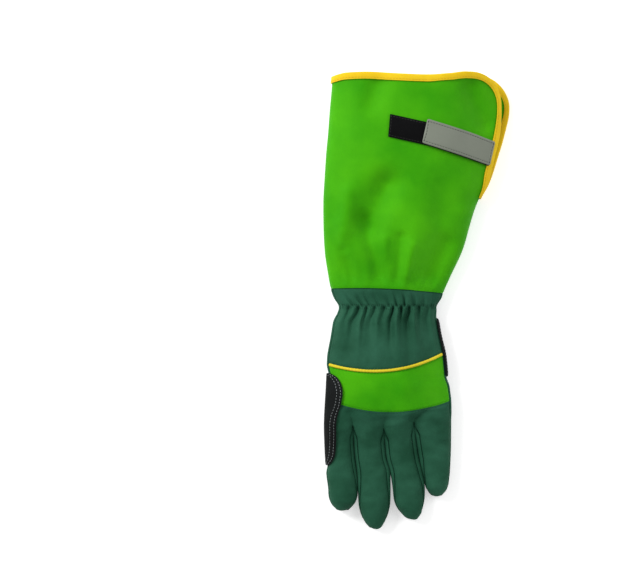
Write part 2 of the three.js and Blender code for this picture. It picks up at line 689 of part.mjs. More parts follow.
function cuffMouth(share) {
  const { left, right } = edgesAt(cuffLength);
  const past = Math.max(0, mix(left, right, share) - (right - cornerRadius));
  const drop = cornerRadius - Math.sqrt(Math.max(0, cornerRadius ** 2 - past ** 2));
  return cuffLength + mouthWave * follow(mouthEdge, 'across', 'rise', share) - drop;
}

function cuffPoint(angle, height) {
  const share = shareOf(angle);
  const y = mix(cuffFoot(share), cuffMouth(share), height);
  return sectionPoint(angle, y, angle > -Math.PI ? 'lower' : 'upper');
}
const footHeight = (slitFoot - cuffFoot(1)) / (cuffMouth(1) - cuffFoot(1));
const slitHeights = [0.12, 0.19, 0.3, 0.47, 0.65, 0.83, 1].map((share) => mix(footHeight, 1, share));
const cuffHeights = [...turns(5, 0, footHeight), ...slitHeights];
sew('cuff', wallOf(new Surface().grid(cuffPoint, cuffAngles, cuffHeights), 0, cuffWall), finishes.brightGreen);

// Binding: a folded tape over the mouth and both edges of the slit
function bindingGeometry() {
  const open = slitHeights.slice(0, -1);
  const path = [
    ...open.map((height) => [0, height]),
    ...cuffAngles.map((angle) => [angle, 1]),
    ...open.map((height) => [-2 * Math.PI, height]).reverse(),
  ];
  const edge = path.map(([angle, height]) => cuffPoint(angle, height));
  const rings = edge.map((p, k) => {
    const [angle] = path[k];
    const layer = angle > -Math.PI ? 'lower' : 'upper';
    const way = edge[Math.min(k + 1, edge.length - 1)].clone().sub(edge[Math.max(k - 1, 0)]).normalize();
    const side = new THREE.Vector2(-way.y, way.x).normalize().multiplyScalar(layer === 'lower' ? tapeWidth : -tapeWidth);
    const inner = shareOf(angle) > 0.6
      ? cuffSheet(layer, p.x + side.x, p.y + side.y)
      : sectionPoint(angle, p.y - tapeWidth, layer);
    const out = p.clone().sub(inner).normalize();
    const normal = way.clone().cross(out).normalize();
    const at = (base, u, v) => base.clone().addScaledVector(out, u).addScaledVector(normal, v);
    const back = -cuffWall - tapeGap;
    return [
      at(inner, 0, tapeLift), at(p, 0.2, tapeLift), at(p, tapeLift, -cuffWall / 2),
      at(p, 0.2, back - tapeWall), at(inner, 0, back - tapeWall), at(inner, 0, back),
      at(p, tapeGap, back), at(p, tapeGap, tapeGap), at(inner, 0, tapeGap),
    ];
  });
  return sweptGeometry(rings);
}
sew('cuff_binding', bindingGeometry(), finishes.yellow);

// Back of the wrist, gathered by the elastic
const backShares = [shareOf(Math.PI - sideEdge('back')), shareOf(sideEdge('back'))];
const backAngle = (across) => angleOf(mix(...backShares, across));

function gatherLift(share, y) {
  const below = -gatherAt - y;
  const fade = below > 0
    ? Math.exp(-((below / (0.55 * gatherReach)) ** 2))
    : -Math.exp(-((below / (0.7 * gatherAt)) ** 2));
  const side = Math.max(0, Math.sin(Math.PI * share)) ** 0.5;
  return gatherDepth * side * fade * Math.cos(2 * Math.PI * gatherCount * share);
}

const besidePiping = pipingDiameter / 2 + seamGap;
function wristGeometry() {
  const depths = [0, 0.09, 0.16, 0.23, 0.33, 0.47, 0.7, 1];
  const place = (across, depth) => {
    const share = mix(...backShares, across);
    const y = mix(seamAt(wristSeam, share) - seamGap / 2, seamAt(pipingSeam, share) + besidePiping, depth);
    return sectionPoint(backAngle(across), y);
  };
  const raised = (across, depth) => {
    const p = place(across, depth);
    return p.setZ(p.z + gatherLift(across, p.y));
  };
  const plain = new Surface().grid(place, turns(gatherColumns), depths, true);
  const gathered = new Surface().grid(raised, turns(gatherColumns), depths, true);
  const inside = plain.moved(-handWall);
  inside.forEach((p, k) => p.setZ(p.z + 0.5 * (gathered.points[k].z - plain.points[k].z)));
  return wallOf(gathered, 0, handWall, inside);
}
sew('wrist_panel', wristGeometry(), finishes.darkGreen);

// Piping: a cord let into the seam above the knuckle panel
function pipingGeometry() {
  const middle = (across) => sectionPoint(backAngle(across), seamAt(pipingSeam, mix(...backShares, across)));
  const radius = pipingDiameter / 2;
  return sweptGeometry(turns(20, 0.01, 0.99).map((across) => {
    const p = middle(across);
    const along = middle(across + 0.005).sub(middle(across - 0.005)).normalize();
    const up = new THREE.Vector3(0, 0, 1).addScaledVector(along, -along.z).normalize();
    const beside = along.clone().cross(up);
    return turns(6, 0, 2 * Math.PI).slice(1).map((turn) => p.clone()
      .addScaledVector(up, radius * (0.3 + Math.cos(turn))).addScaledVector(beside, radius * Math.sin(turn)));
  }));
}
sew('piping', pipingGeometry(), finishes.yellow);

// Bright panel over the knuckles
function knucklePoint(column, depth) {
  const share = shareOf(columnAngle('back', column));
  const y = mix(seamAt(pipingSeam, share) - besidePiping, seamAt(knuckleSeam, share) + seamGap / 2, depth);
  return handPoint('back', column, y);
}
const handColumns = turns(columns, 0, columns);
const knuckleSurface = new Surface().grid(knucklePoint, handColumns, turns(4), true);
sew('knuckle_panel', wallOf(knuckleSurface, 0, handWall), finishes.brightGreen);

// Rows of a finger, in shares of the way from its roots to its tip
function fingerRows(index) {
  const tipFrom = 1 - fingers[index].tip / fingers[index].length;
  const round = [35, 62, 80, 90].map((turn) => mix(tipFrom, 1, Math.sin(radians(turn))));
  return [0, 0.07, 0.2, 0.42, tipFrom, ...round];
}

// A side of the hand in one piece with that side of the fingers, from its top seam down
function handSurface(side, top, depths) {
  const surface = new Surface();
  surface.grid((column, depth) => {
    const share = shareOf(columnAngle(side, column));
    return handPoint(side, column, mix(seamAt(top, share) - seamGap / 2, forkAt(side, column), depth));
  }, handColumns, depths, side === 'back');
  fingers.forEach(({ length }, index) => {
    const from = index * fingerColumns;
    surface.grid((column, share) => {
      const y = mix(forkAt(side, column), -palmLength - length, share);
      const p = handPoint(side, column, y, index);
      return p.setZ(p.z + (side === 'back' ? 1.5 : -1.5) * seamGap * ease((share - 0.9) / 0.1));
    }, turns(fingerColumns, from, from + fingerColumns), fingerRows(index), side === 'back');
  });
  return surface;
}
sew('finger_backs', wallOf(handSurface('back', knuckleSeam, turns(4)), 0, handWall), finishes.darkGreen);

// Palm, with a hole where the thumb is set in
function holeSolid() {
  const hole = new THREE.CylinderGeometry(1, 1, 60, 20);
  hole.rotateX(Math.PI / 2);
  hole.scale(thumbHole.width / 2, thumbHole.length / 2, 1);
  hole.rotateZ(radians(thumbHole.turn));
  hole.translate(thumbHole.across * knuckleWidth, -thumbHole.along * palmLength, 30 + 2 * handWall);
  return solidOf(hole);
}
const palmSolid = solidOf(wallOf(handSurface('palm', wristSeam, palmDepths), 0, handWall));
sew('palm', geometryFrom(palmSolid.subtract(holeSolid())), finishes.darkGreen);

// Gussets between neighbouring fingers, from one tip round the fork to the next tip: turn goes from the
// back's seam to the palm's, way is the distance from the fork
function gussetGeometry(index) {
  const column = fingerColumns * (index + 1);
  const place = (turn, way) => {
    const right = way < 0;
    const finger = right ? index : index + 1;
    const neighbour = right ? index + 1 : index;
    const side = turn > 0 ? 'back' : 'palm';
    const forkY = mix(forkAt('palm', column), forkAt('back', column), (turn + 1) / 2);
    const y = mix(forkY, -palmLength - fingers[finger].length, Math.abs(way)) - seamGap * (1 - Math.abs(way));
    const pull = 1 - ease((forkY - y) / forkReach);
    const angleOn = (k) => (gussetAngle(k, side, y) - 2 * seamAngle) * turn * mix(1, side === 'back' ? 0.62 : 0.25, Math.sqrt(pull));
    const own = fingerPoint(finger, right ? angleOn(finger) : Math.PI - angleOn(finger), y);
    const other = fingerPoint(neighbour, right ? Math.PI - angleOn(neighbour) : angleOn(neighbour), y);
    return own.lerp(other, pull / 2);
  };
  const rows = (finger) => fingerRows(finger).slice(1, -3);
  const stations = [...rows(index).map((share) => -share).reverse(), 0, ...rows(index + 1)];
  return wallOf(new Surface().grid(place, [1, 0.36, -0.36, -1], stations), 0, handWall);
}
fingers.slice(0, -1).forEach(({ name }, index) => {
  sew(`gusset_${name}_${fingers[index + 1].name}`, gussetGeometry(index), finishes.darkGreen);
});

// Black caps over the palm side of the fingertips
const capLift = patchWall + patchGap;
fingers.forEach(({ name, length, tip }, index) => {
  const tipFrom = 1 - tip / length;
  const place = (across, share) => {
    const y = -palmLength - length * share;
    const seam = Math.max(radians(30), gussetAngle(index, 'palm', y) + seamAngle);
    return fingerPoint(index, mix(-Math.PI + seam, -seam, across), y);
  };
  const round = [30, 50, 68].map((turn) => mix(tipFrom, 1, Math.sin(radians(turn))));
  const surface = new Surface().grid(place, turns(6), [1 - capLength / length, tipFrom, ...round]);
  sew(`cap_${name}`, wallOf(surface, capLift, patchWall), finishes.black);
});

// Patches on the palm and round the index finger
function heelPoint(around, depth) {
  const along = mix(follow(heelPatch, 'around', 'from', around), follow(heelPatch, 'around', 'to', around), depth);
  return handPoint('palm', around * columns, -along * palmLength);
}
const heelSurface = new Surface().grid(heelPoint, heelPatch.map((row) => row.around), turns(7));
sew('heel_patch', wallOf(heelSurface, patchRise, patchWall), finishes.black);

function ballPoint(across, along) {
  const edge = (side) => follow(ballPatch, 'along', side, along) * knuckleWidth;
  return palmAt(mix(edge('left'), edge('right'), across), -along * palmLength);
}
const ballSurface = new Surface().grid(ballPoint, turns(3), ballPatch.map((row) => row.along));
sew('ball_patch', wallOf(ballSurface, patchRise, patchWall), finishes.black);

function rootPoint(across, depth) {
  const along = mix(follow(rootPatch, 'across', 'from', across), follow(rootPatch, 'across', 'to', across), depth);
  return palmAt(across * knuckleWidth, -along * palmLength);
}
const rootSurface = new Surface().grid(rootPoint, rootPatch.map((row) => row.across), turns(3));
sew('root_patch', wallOf(rootSurface, patchRise, patchWall), finishes.black);

function indexPatchPoint(u, along) {
  const y = -along * palmLength;
  const side = u < 0 ? 'back' : 'palm';
  const inset = follow(indexPatch, 'along', side, along) * indexWidth;
  const column = columnAt(side, handPoint(side, 0, y, 0).x + inset, y, fingerColumns - 1e-6);
  return handPoint(side, Math.abs(u) * column, y, 0);
}
const indexPatchSurface = new Surface()
  .grid(indexPatchPoint, [...turns(4, -1, 0), ...turns(5).slice(1)], indexPatch.map((row) => row.along));
sew('index_patch', wallOf(indexPatchSurface, patchRise + patchGap / 3, patchWall), finishes.black);

// Thumb: a flat bag under the palm, open where it is sewn to the palm's hole. Its upper side follows the
// palm, and lies lower where the patch at the finger roots is above it.
function thumbPoint(along, angle, inset = 0) {
  const y = -along * palmLength;
  const left = follow(thumbShape, 'along', 'left', along) * knuckleWidth + inset;
  const right = follow(thumbShape, 'along', 'right', along) * knuckleWidth - inset;
  const x = mix(left, right, (1 + Math.cos(angle)) / 2);
  const under = capLift * ease((along - thumbCapFrom + 0.12) / 0.1);
  const over = palmAt(x, y).z - thumbGap - (patchRise + 0.1) * ease((along - 0.58) / 0.09);
  const fromEnd = palmLength * Math.min(along - thumbShape[0].along, thumbShape.at(-1).along - along);
  const full = 0.35 + 0.65 * Math.sqrt(1 - (1 - Math.min(1, fromEnd / thumbEnd)) ** 2);
  const half = ((over - under) / 2) * full - inset;
  const arch = signedPower(Math.sin(angle), 0.75);
  return new THREE.Vector3(x, y, (over + under) / 2 + half * THREE.MathUtils.clamp(1.2 * arch, -1, 1));
}

function thumbGeometry() {
  const ring = (along, inset) => turns(16, 0, 2 * Math.PI).slice(1).map((angle) => thumbPoint(along, angle, inset));
  const outside = thumbShape.map((row) => ring(row.along, 0));
  const hollow = [0.26, 0.33, 0.42, 0.52, 0.62, 0.71, 0.8, 0.89, 0.95, 0.975].map((along) => ring(along, handWall));
  return geometryFrom(solidOf(sweptGeometry(outside)).subtract(solidOf(sweptGeometry(hollow))).subtract(holeSolid()));
}
sew('thumb', thumbGeometry(), finishes.darkGreen);

// Black cap over the lower side of the thumb's tip
function thumbCapPoint(angle, depth) {
  const from = thumbCapFrom + 0.05 * ((1 + Math.cos(angle)) / 2);
  return thumbPoint(mix(from, 0.975, depth), angle);
}
const thumbCapAngles = [1.05, ...turns(6, 1.125, 1.875), 1.95].map((turn) => turn * Math.PI);
const thumbCapSurface = new Surface().grid(thumbCapPoint, thumbCapAngles, turns(5));
sew('cap_thumb', wallOf(thumbCapSurface, capLift, patchWall), finishes.black);

// Closing strap: a black loop pad on the cuff, and a grey tab over it that is sewn in beside the slit
function strapGeometry(middle, size, turn, slant, lift, wall, counts) {
  const along = new THREE.Vector2(Math.cos(radians(turn)), Math.sin(radians(turn)));
  const side = new THREE.Vector2(-Math.sin(radians(slant)), Math.cos(radians(slant)));
  const place = (u, v) => cuffSheet(
    'upper',
    middle.across * mouthWidth - seamWidth / 2 + along.x * u + side.x * v,
    middle.along * cuffLength + along.y * u + side.y * v,
  );
  const [us, vs] = size.map((length, k) => turns(counts[k], -length / 2, length / 2));
  return wallOf(new Surface().grid(place, us, vs), lift, wall);
}
const pad = strapGeometry(padMiddle, [padLength, padWidth], padTurn, padSlant, patchRise, patchWall, [6, 3]);
sew('strap_pad', pad, finishes.black);
const tabLift = patchRise + 2 * patchGap + tabWall;
const tab = strapGeometry(tabMiddle, [tabLength, tabWidth], tabTurn, tabSlant, tabLift, tabWall, [8, 3]);
sew('strap_tab', tab, finishes.grey);

// The origin is the middle of the glove's footprint, on the surface that it lies on.
const box = new THREE.Box3().setFromObject(glove);
const centre = box.getCenter(new THREE.Vector3());
glove.children.forEach((mesh) => mesh.position.set(-centre.x, -centre.y, -box.min.z));

export default glove;
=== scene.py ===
from math import cos, pi, radians, sin
import bpy
import numpy as np
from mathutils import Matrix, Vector, noise


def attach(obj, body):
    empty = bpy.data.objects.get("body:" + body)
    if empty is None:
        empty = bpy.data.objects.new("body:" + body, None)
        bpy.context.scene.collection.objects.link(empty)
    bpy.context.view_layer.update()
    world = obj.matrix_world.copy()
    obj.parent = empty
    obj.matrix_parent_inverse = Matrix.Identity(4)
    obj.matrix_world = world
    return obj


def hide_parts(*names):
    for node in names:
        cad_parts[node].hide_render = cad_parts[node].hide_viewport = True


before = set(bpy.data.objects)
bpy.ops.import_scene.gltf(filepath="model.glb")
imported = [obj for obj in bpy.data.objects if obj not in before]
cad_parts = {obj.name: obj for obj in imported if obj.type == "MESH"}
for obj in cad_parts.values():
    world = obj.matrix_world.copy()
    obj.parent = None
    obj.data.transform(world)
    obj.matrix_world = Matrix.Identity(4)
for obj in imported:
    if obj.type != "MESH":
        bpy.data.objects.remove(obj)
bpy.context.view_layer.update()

# Rose pruning gauntlet on its palm, in millimetres: y runs from the fingertips to the mouth, 0 at the wrist seam
shift = np.array([-26.0306, 10.5648, 0.0])  # from the tables' zero to the model's

cuffLength, palmLength = 194, 123  # from the wrist seam to the mouth, and to the roots of the fingers
mouthWidth, seamWidth, wristWidth, knuckleWidth = 164, 104.4, 90, 117  # laid flat
cuffBulge, cornerRadius, mouthWave, cuffHeight = 6.9, 30, 3.4, 38
slitLength, slitInset, slitSpread, insetSpread, slitEdgeHeight = 121, 4.2, 14, 62, 13.5
cuffWall, handWall, patchWall, tapeWall, tabWall = 1.4, 1.8, 1.2, 0.9, 1.4
tapeGap, tapeWidth, seamGap, patchGap, thumbGap, pipingWidth = 0.55, 4.9, 0.3, 0.45, 0.75, 2.6
grooveWidth, threadSink = 0.45, 0.1  # half the width of the dent along a row of stitches, and how deep threads lie
wrinkleFade = 5  # from an edge to full wrinkles
innerSink = 0.35  # how far a wall's inner face goes down with its outer one
weldGrain = 400  # points nearer than a 400th of a millimetre are welded
slitGape = {"at": 168, "reach": 20, "upper": 2.7, "lower": 1.4}  # how far the slit's edges part near the mouth
tapeLift = tapeWall + tapeGap
patchRise = patchWall + 2 * patchGap
capLift = patchWall + patchGap
slitFoot = cuffLength - slitLength
roundness, openEdge = 2.4, 1.7  # of the cross-section, and of the slit's free edges
seamAngle = 0.024
fingerColumns, columns = 6, 24

cuffEdges = {
    "at": [0, 0.06, 0.19, 0.3, 0.41, 0.51, 0.62, 0.74, 0.85, 1],
    "bulge": [0, 0.33, 0.84, 0.98, 1, 0.9, 0.7, 0.4, 0.13, -0.22],
    "flare": [0, 0.09, 0.28, 0.385, 0.505, 0.68, 0.8, 0.91, 0.965, 0.97]}
handEdges = {
    "at": [0, 0.06, 0.13, 0.24, 0.33, 0.5, 0.69, 0.86, 1],
    "seam": [1, 0.62, 0, 0, 0, 0, 0, 0, 0],
    "left": [0, 0, 0, 0.4, 0.53, 0.8, 0.87, 0.96, 1.03],
    "right": [0, 0, 0, 0.19, 0.33, 0.67, 0.83, 1, 0.99]}
mouthEdge = {
    "at": [0, 0.08, 0.18, 0.4, 0.55, 0.68, 0.78, 1],
    "rise": [0, 0.72, 0.82, 0.25, 0, 0.42, 1, 1]}
cuffDents = {
    "across": [0.26, 0.36, 0.47, 0.78, 0.62, 0.82, 0.28],
    "along": [0.37, 0.48, 0.15, 0.2, 0.17, 0.84, 0.93],
    "wide": [0.08, 0.09, 0.05, 0.07, 0.06, 0.06, 0.06],
    "tall": [0.11, 0.08, 0.14, 0.15, 0.13, 0.12, 0.12],
    "depth": [0.1, 0.06, 0.05, 0.07, -0.04, 0.06, 0.04]}
levels = {
    "at": [-225, -183, -165, -144, -123, -105.78, -84.87, -61.5, -40.59, -29.52, -17.22, 0, 15.52, 38.8, 77.6, 135.8,
        194],
    "sideThumb": [9.016, 9.752, 10.488, 13.248, 18.7, 21.08, 22.44, 22.1, 18.36, 15.64, 12.58, 12, 12.92, 14.82, 17.1,
        17.86, 17.86],
    "sideLittle": [8.832, 9.2, 9.568, 9.936, 11.04, 12, 12, 11.52, 10.56, 10.08, 9.12, 8, 7.98, 7.6, 6.84, 6.46,
        6.08],
    "overThumb": [17.112, 18.768, 19.872, 22.632, 28.22, 31.96, 34, 34, 30.94, 27.88, 23.8, 25, 26.98, 31.16, 34.96,
        38, 38],
    "overLittle": [16.192, 17.296, 18.032, 18.952, 21.12, 23.04, 24, 24, 23.52, 22.08, 19.92, 20, 22.04, 25.08, 28.12,
        28.88, 28.12],
    "underThumb": [1.656, 1.656, 1.84, 4.784, 11.44, 12.87, 14.3, 14.014, 11.011, 7.007, 3.003, 0, 0, 0, 0, 0, 0],
    "underLittle": [1.656, 1.656, 1.84, 1.84, 2.86, 3.432, 3.432, 3.432, 3.289, 3.003, 3.003, 0, 0, 0, 0, 0, 0]}
fingers = [
    {"name": "index", "length": 80, "tip": 16.5, "lean": -0.6, "at": [0, 0.37, 0.56, 0.75, 1],
     "left": [-0.503, -0.493, -0.484, -0.469, -0.462], "right": [-0.278, -0.261, -0.243, -0.236, -0.235]},
    {"name": "middle", "length": 97, "tip": 26, "lean": 1.7, "at": [0, 0.3, 0.46, 0.62, 1],
     "left": [-0.278, -0.261, -0.2435, -0.234, -0.222], "right": [-0.0375, -0.017, 0.018, 0.019, 0.009]},
    {"name": "ring", "length": 88, "tip": 21, "lean": 4.6, "at": [0, 0.34, 0.51, 0.68, 1],
     "left": [-0.0375, -0.012, 0.022, 0.042, 0.06], "right": [0.198, 0.237, 0.268, 0.287, 0.286]},
    {"name": "little", "length": 66.5, "tip": 15, "lean": 1.2, "at": [0, 0.44, 0.67, 0.8, 1],
     "left": [0.198, 0.243, 0.272, 0.287, 0.279], "right": [0.499, 0.495, 0.489, 0.482, 0.478]}]
forks = {"back": [0.016, 0, 0.024, -0.024, -0.008], "palm": [0.081, 0.081, 0.09, 0.024, 0.041]}
fingerSeams = {"fork": 30, "open": 37, "tip": 6, "side": 14, "reach": 13, "gap": 0.7}  # angles in degrees
wristSeam = {"left": -0.012, "middle": -0.012, "right": 0.024}
pipingSeam = {"left": 0.546, "middle": 0.592, "right": 0.469}
knuckleSeam = {"left": 0.812, "middle": 0.902, "right": 0.82}


# Values along the tables
def ease(t):
    t = np.clip(t, 0, 1)
    return t * t * (3 - 2 * t)


def mix(a, b, t):
    return a + (b - a) * t


def signedPower(v, power):
    return np.sign(v) * np.abs(v) ** power


def bell(t):
    return np.exp(-t ** 2)


def unit(v):
    return v / np.maximum(np.linalg.norm(v, axis=-1, keepdims=True), 1e-9)


def turns(count, start=0.0, end=1.0):
    return np.linspace(start, end, count + 1)


def follow(table, column, at):  # smooth, and never past its rows
    x, y = np.array(table["at"], float), np.array(table[column], float)
    at = np.clip(np.asarray(at, float), x[0], x[-1])
    rise = np.diff(y) / np.diff(x)
    same = rise[:-1] * rise[1:] > 0
    inner = np.where(same, 2 * rise[:-1] * rise[1:] / np.where(same, rise[:-1] + rise[1:], 1), 0)
    slope = np.concatenate([rise[:1], inner, rise[-1:]])
    k = np.clip(np.searchsorted(x, at, side="right") - 1, 0, len(x) - 2)
    step = x[k + 1] - x[k]
    t = (at - x[k]) / step
    bend = t * (1 - t) ** 2 * slope[k] - t * t * (1 - t) * slope[k + 1]
    return mix(y[k], y[k + 1], t * t * (3 - 2 * t)) + step * bend


# The glove's body: outline, heights and cross-section
def underPatch(start, end, y):
    ramp = 0.09 * palmLength
    return patchRise * ease((ramp - start * palmLength - y) / ramp) * ease((ramp + y + end * palmLength) / ramp)


def underIndexPatch(y):
    return underPatch(0.635, 1.285, y)


def edgesAt(y):
    at, down = y / cuffLength, -y / palmLength
    half = seamWidth / 2
    neck = (wristWidth + (seamWidth - wristWidth) * follow(handEdges, "seam", down)) / 2
    swell = (knuckleWidth - wristWidth) / 2
    left = np.where(y >= 0, -half - cuffBulge * follow(cuffEdges, "bulge", at),
                    -neck - swell * follow(handEdges, "left", down) + underIndexPatch(y))
    gape = slitGape["lower"] * gapeAt(y)
    right = np.where(y >= 0, half + gape + (mouthWidth - seamWidth) * follow(cuffEdges, "flare", at),
                     neck + swell * follow(handEdges, "right", down) - underPatch(0.225, 0.635, y))
    return left, right


def layerEdges(y, layer):
    left, right = edgesAt(y)
    return left, (right - insetAt(y) if layer == "upper" else right)


def slitOpen(y):
    return ease((y - slitFoot) / slitSpread)


def insetAt(y):
    return slitInset * ease((y - slitFoot) / insetSpread) + (slitGape["upper"] + slitGape["lower"]) * gapeAt(y)


def gapeAt(y):
    return bell((y - slitGape["at"]) / slitGape["reach"])


def levelAt(kind, share, y, layer="closed"):
    little = follow(levels, kind + "Little", y)
    if kind == "side" and layer != "closed":
        little = mix(little, slitEdgeHeight if layer == "upper" else 2 * tapeLift, slitOpen(y))
    lift = tapeLift * ease((y - cuffLength + 4 * tapeWidth) / (2.5 * tapeWidth)) if kind == "under" else 0
    return mix(follow(levels, kind + "Thumb", y), little, ease((share - 0.6) / 0.4)) + lift


def shareOf(angle):
    return (1 + signedPower(np.cos(angle), 2 / roundness)) / 2


def angleOf(share):
    return np.arccos(np.clip(signedPower(2 * share - 1, roundness / 2), -1, 1))


def dentAt(share, y):
    total = 0 * y
    for across, along, wide, tall, depth in zip(*cuffDents.values()):
        dx, dy = (share - across) / wide, (y / cuffLength - along) / tall
        total = total + depth * cuffHeight * np.exp(-(dx * dx + dy * dy))
    return np.where(y > 0, total, 0)


def sectionPoint(angle, y, layer="closed"):
    angle, y = np.broadcast_arrays(np.asarray(angle, float), np.asarray(y, float))
    left, edge = layerEdges(y, layer)
    share = shareOf(angle)
    side = levelAt("side", share, y, layer)
    free = 0 if layer == "closed" else slitOpen(y) * ease((np.cos(angle) - 0.45) / 0.5)
    arch = np.abs(np.sin(angle)) ** mix(2 / roundness, openEdge, free)
    top = mix(side, levelAt("over", share, y) - dentAt(share, y), arch)
    low = mix(side, levelAt("under", share, y), np.minimum(1, 1.25 * arch))
    return np.stack([mix(left, edge, share), y, np.where(np.sin(angle) >= 0, top, low)], -1)


def seamAt(seam, share):
    u = 2 * share - 1
    tilt = (seam["right"] - seam["left"]) / 2
    bow = (seam["right"] + seam["left"]) / 2 - seam["middle"]
    return -palmLength * (seam["middle"] + tilt * u + bow * u * u)


# Fingers
def tipStart(finger):
    return 1 - finger["tip"] / finger["length"]


def fingerAt(index, y):
    finger = fingers[index]
    at = np.clip((-palmLength - y) / finger["length"], 0, 1)
    gap = fingerSeams["gap"] / 2
    left = knuckleWidth * follow(finger, "left", at) + (underIndexPatch(y) if index == 0 else gap)
    right = knuckleWidth * follow(finger, "right", at) - (0 if index == 3 else gap)
    beyond = np.maximum(0, 1 - (1 - at) * (finger["length"] / finger["tip"]))
    rounding = np.sqrt(np.maximum(0, 1 - beyond * beyond))
    return at, (left + right) / 2 + finger["lean"] * (1 - rounding), (right - left) / 2, rounding


def forkAt(side, column):
    at = np.clip(np.asarray(column, float) / fingerColumns, 0, 4 - 1e-9)
    k = np.floor(at).astype(int)
    rows = np.array(forks[side])
    return -palmLength * (1 + mix(rows[k], rows[k + 1], at - k))


def gussetAngle(index, side, y):
    below = forkAt(side, fingerColumns * (index + 0.5)) - y
    at = fingerAt(index, y)[0]
    opened = mix(fingerSeams["fork"], fingerSeams["open"], ease(below / fingerSeams["reach"]))
    return np.radians(mix(mix(opened, fingerSeams["tip"], ease((at - 0.45) / 0.45)), 0.5, ease((at - 0.92) / 0.05)))


def fingerPoint(index, angle, y):
    at, middle, half, rounding = fingerAt(index, y)
    x = middle + half * rounding * np.cos(angle)
    share = x / knuckleWidth + 0.5
    side = levelAt("side", share, y) - 2 * (1 - rounding)
    reach = np.where(np.sin(angle) >= 0, levelAt("over", share, y) - side, side - levelAt("under", share, y))
    return np.stack(np.broadcast_arrays(x, y, side + reach * rounding * np.sin(angle)), -1)


def fingerSpan(index, side, y):
    inner = (gussetAngle(index, side, y) + seamAngle) * (1 if side == "back" else -1)
    first, last = (sideEdge(side) if index == end else inner for end in (0, 3))
    return pi - first, (last if side == "back" else 2 * pi + last)


def joinedFingerPoint(side, index, across, y):  # near a fork, neighbours are drawn together
    start, end = fingerSpan(index, side, y)
    p = fingerPoint(index, mix(start, end, across), y)
    for way in (1, -1):
        other = index + way
        if not 0 <= other < 4:
            continue
        here = across > 0.5 if way > 0 else across <= 0.5
        pull = 1 - ease((forkAt(side, fingerColumns * (index + (way > 0))) - y) / fingerSeams["reach"])
        own = fingerPoint(index, (end if way > 0 else start) + 0 * y, y)
        otherStart, otherEnd = fingerSpan(other, side, y)
        meeting = mix(fingerPoint(other, (otherStart if way > 0 else otherEnd) + 0 * y, y), own, 0.5)
        p = p + (meeting - own) * (np.where(here, pull, 0) * (2 * across - 1) ** 2)[..., None]
    return p


def sideEdge(side):
    return radians(fingerSeams["side"]) + (seamAngle if side == "back" else -seamAngle)


def columnAngle(side, column):
    return mix(pi - sideEdge(side), sideEdge(side) if side == "back" else 2 * pi + sideEdge(side), column / columns)


def handPoint(side, column, y, index=None):
    column, y = (np.array(v) for v in np.broadcast_arrays(np.asarray(column, float), np.asarray(y, float)))
    webTop = -palmLength * (0.85 if side == "back" else 0.91)
    blend = ease((webTop - y) / (webTop - forkAt(side, column)))
    body = sectionPoint(columnAngle(side, column), y)
    if index is None:
        owner = np.minimum((column // fingerColumns).astype(int), 3)
        finger = np.zeros(y.shape + (3,))
        for k in range(4):
            here = owner == k
            if here.any():
                finger[here] = joinedFingerPoint(side, k, column[here] / fingerColumns - k, y[here])
    else:
        finger = joinedFingerPoint(side, index, column / fingerColumns - index, y)
    return mix(body, finger, blend[..., None])


def columnAt(side, x, y, end=columns):
    low, high = np.zeros(np.shape(y)), np.full(np.shape(y), float(end))
    for _ in range(18):
        middle = (low + high) / 2
        before = handPoint(side, middle, y)[..., 0] < x
        low, high = np.where(before, middle, low), np.where(before, high, middle)
    return (low + high) / 2


def palmAt(x, y):
    x, y = (np.array(v) for v in np.broadcast_arrays(x, y))
    return handPoint("palm", columnAt("palm", x, y), y)


def cuffSheet(layer, x, y):
    left, edge = layerEdges(y, layer)
    angle = angleOf(np.clip((x - left) / (edge - left), 0, 1))
    return sectionPoint(angle if layer == "upper" else -angle, y, layer)


# Cloth: grids of points with their lengths along the cloth, made into closed walls
def lengths(points, axis):
    steps = np.linalg.norm(np.diff(points, axis=axis), axis=-1)
    return np.concatenate([np.zeros_like(np.take(steps, [0], axis)), np.cumsum(steps, axis)], axis)


def clothGrid(shape, us, vs, turned=False, borders="lrtb"):
    across, down = np.meshgrid(us, vs)
    points = shape(across, down)
    su, sv = lengths(points, 1), lengths(points, 0)
    ways = np.gradient(points, axis=1), np.gradient(points, axis=0)
    normals = unit(np.cross(*(ways[::-1] if turned else ways)))
    border = np.full(su.shape, 99.0)
    for side, distance in (("l", su), ("r", su[:, -1:] - su), ("t", sv), ("b", sv[-1:] - sv)):
        if side in borders:
            border = np.minimum(border, distance)
    middle = su[:, -1:] / 2
    return {"points": points, "normals": normals, "su": su, "sv": sv, "place": np.stack([su - middle, sv], -1),
            "border": border, "turned": turned}


def wrinkled(points, wrinkle):  # amplitude, then the wrinkles' size across and along, in millimetres
    amount, wide, tall, seed = wrinkle
    return np.array([amount * noise.noise(Vector((p[0] / wide + seed, p[1] / tall, p[2] / 14 + seed))) for p in points])


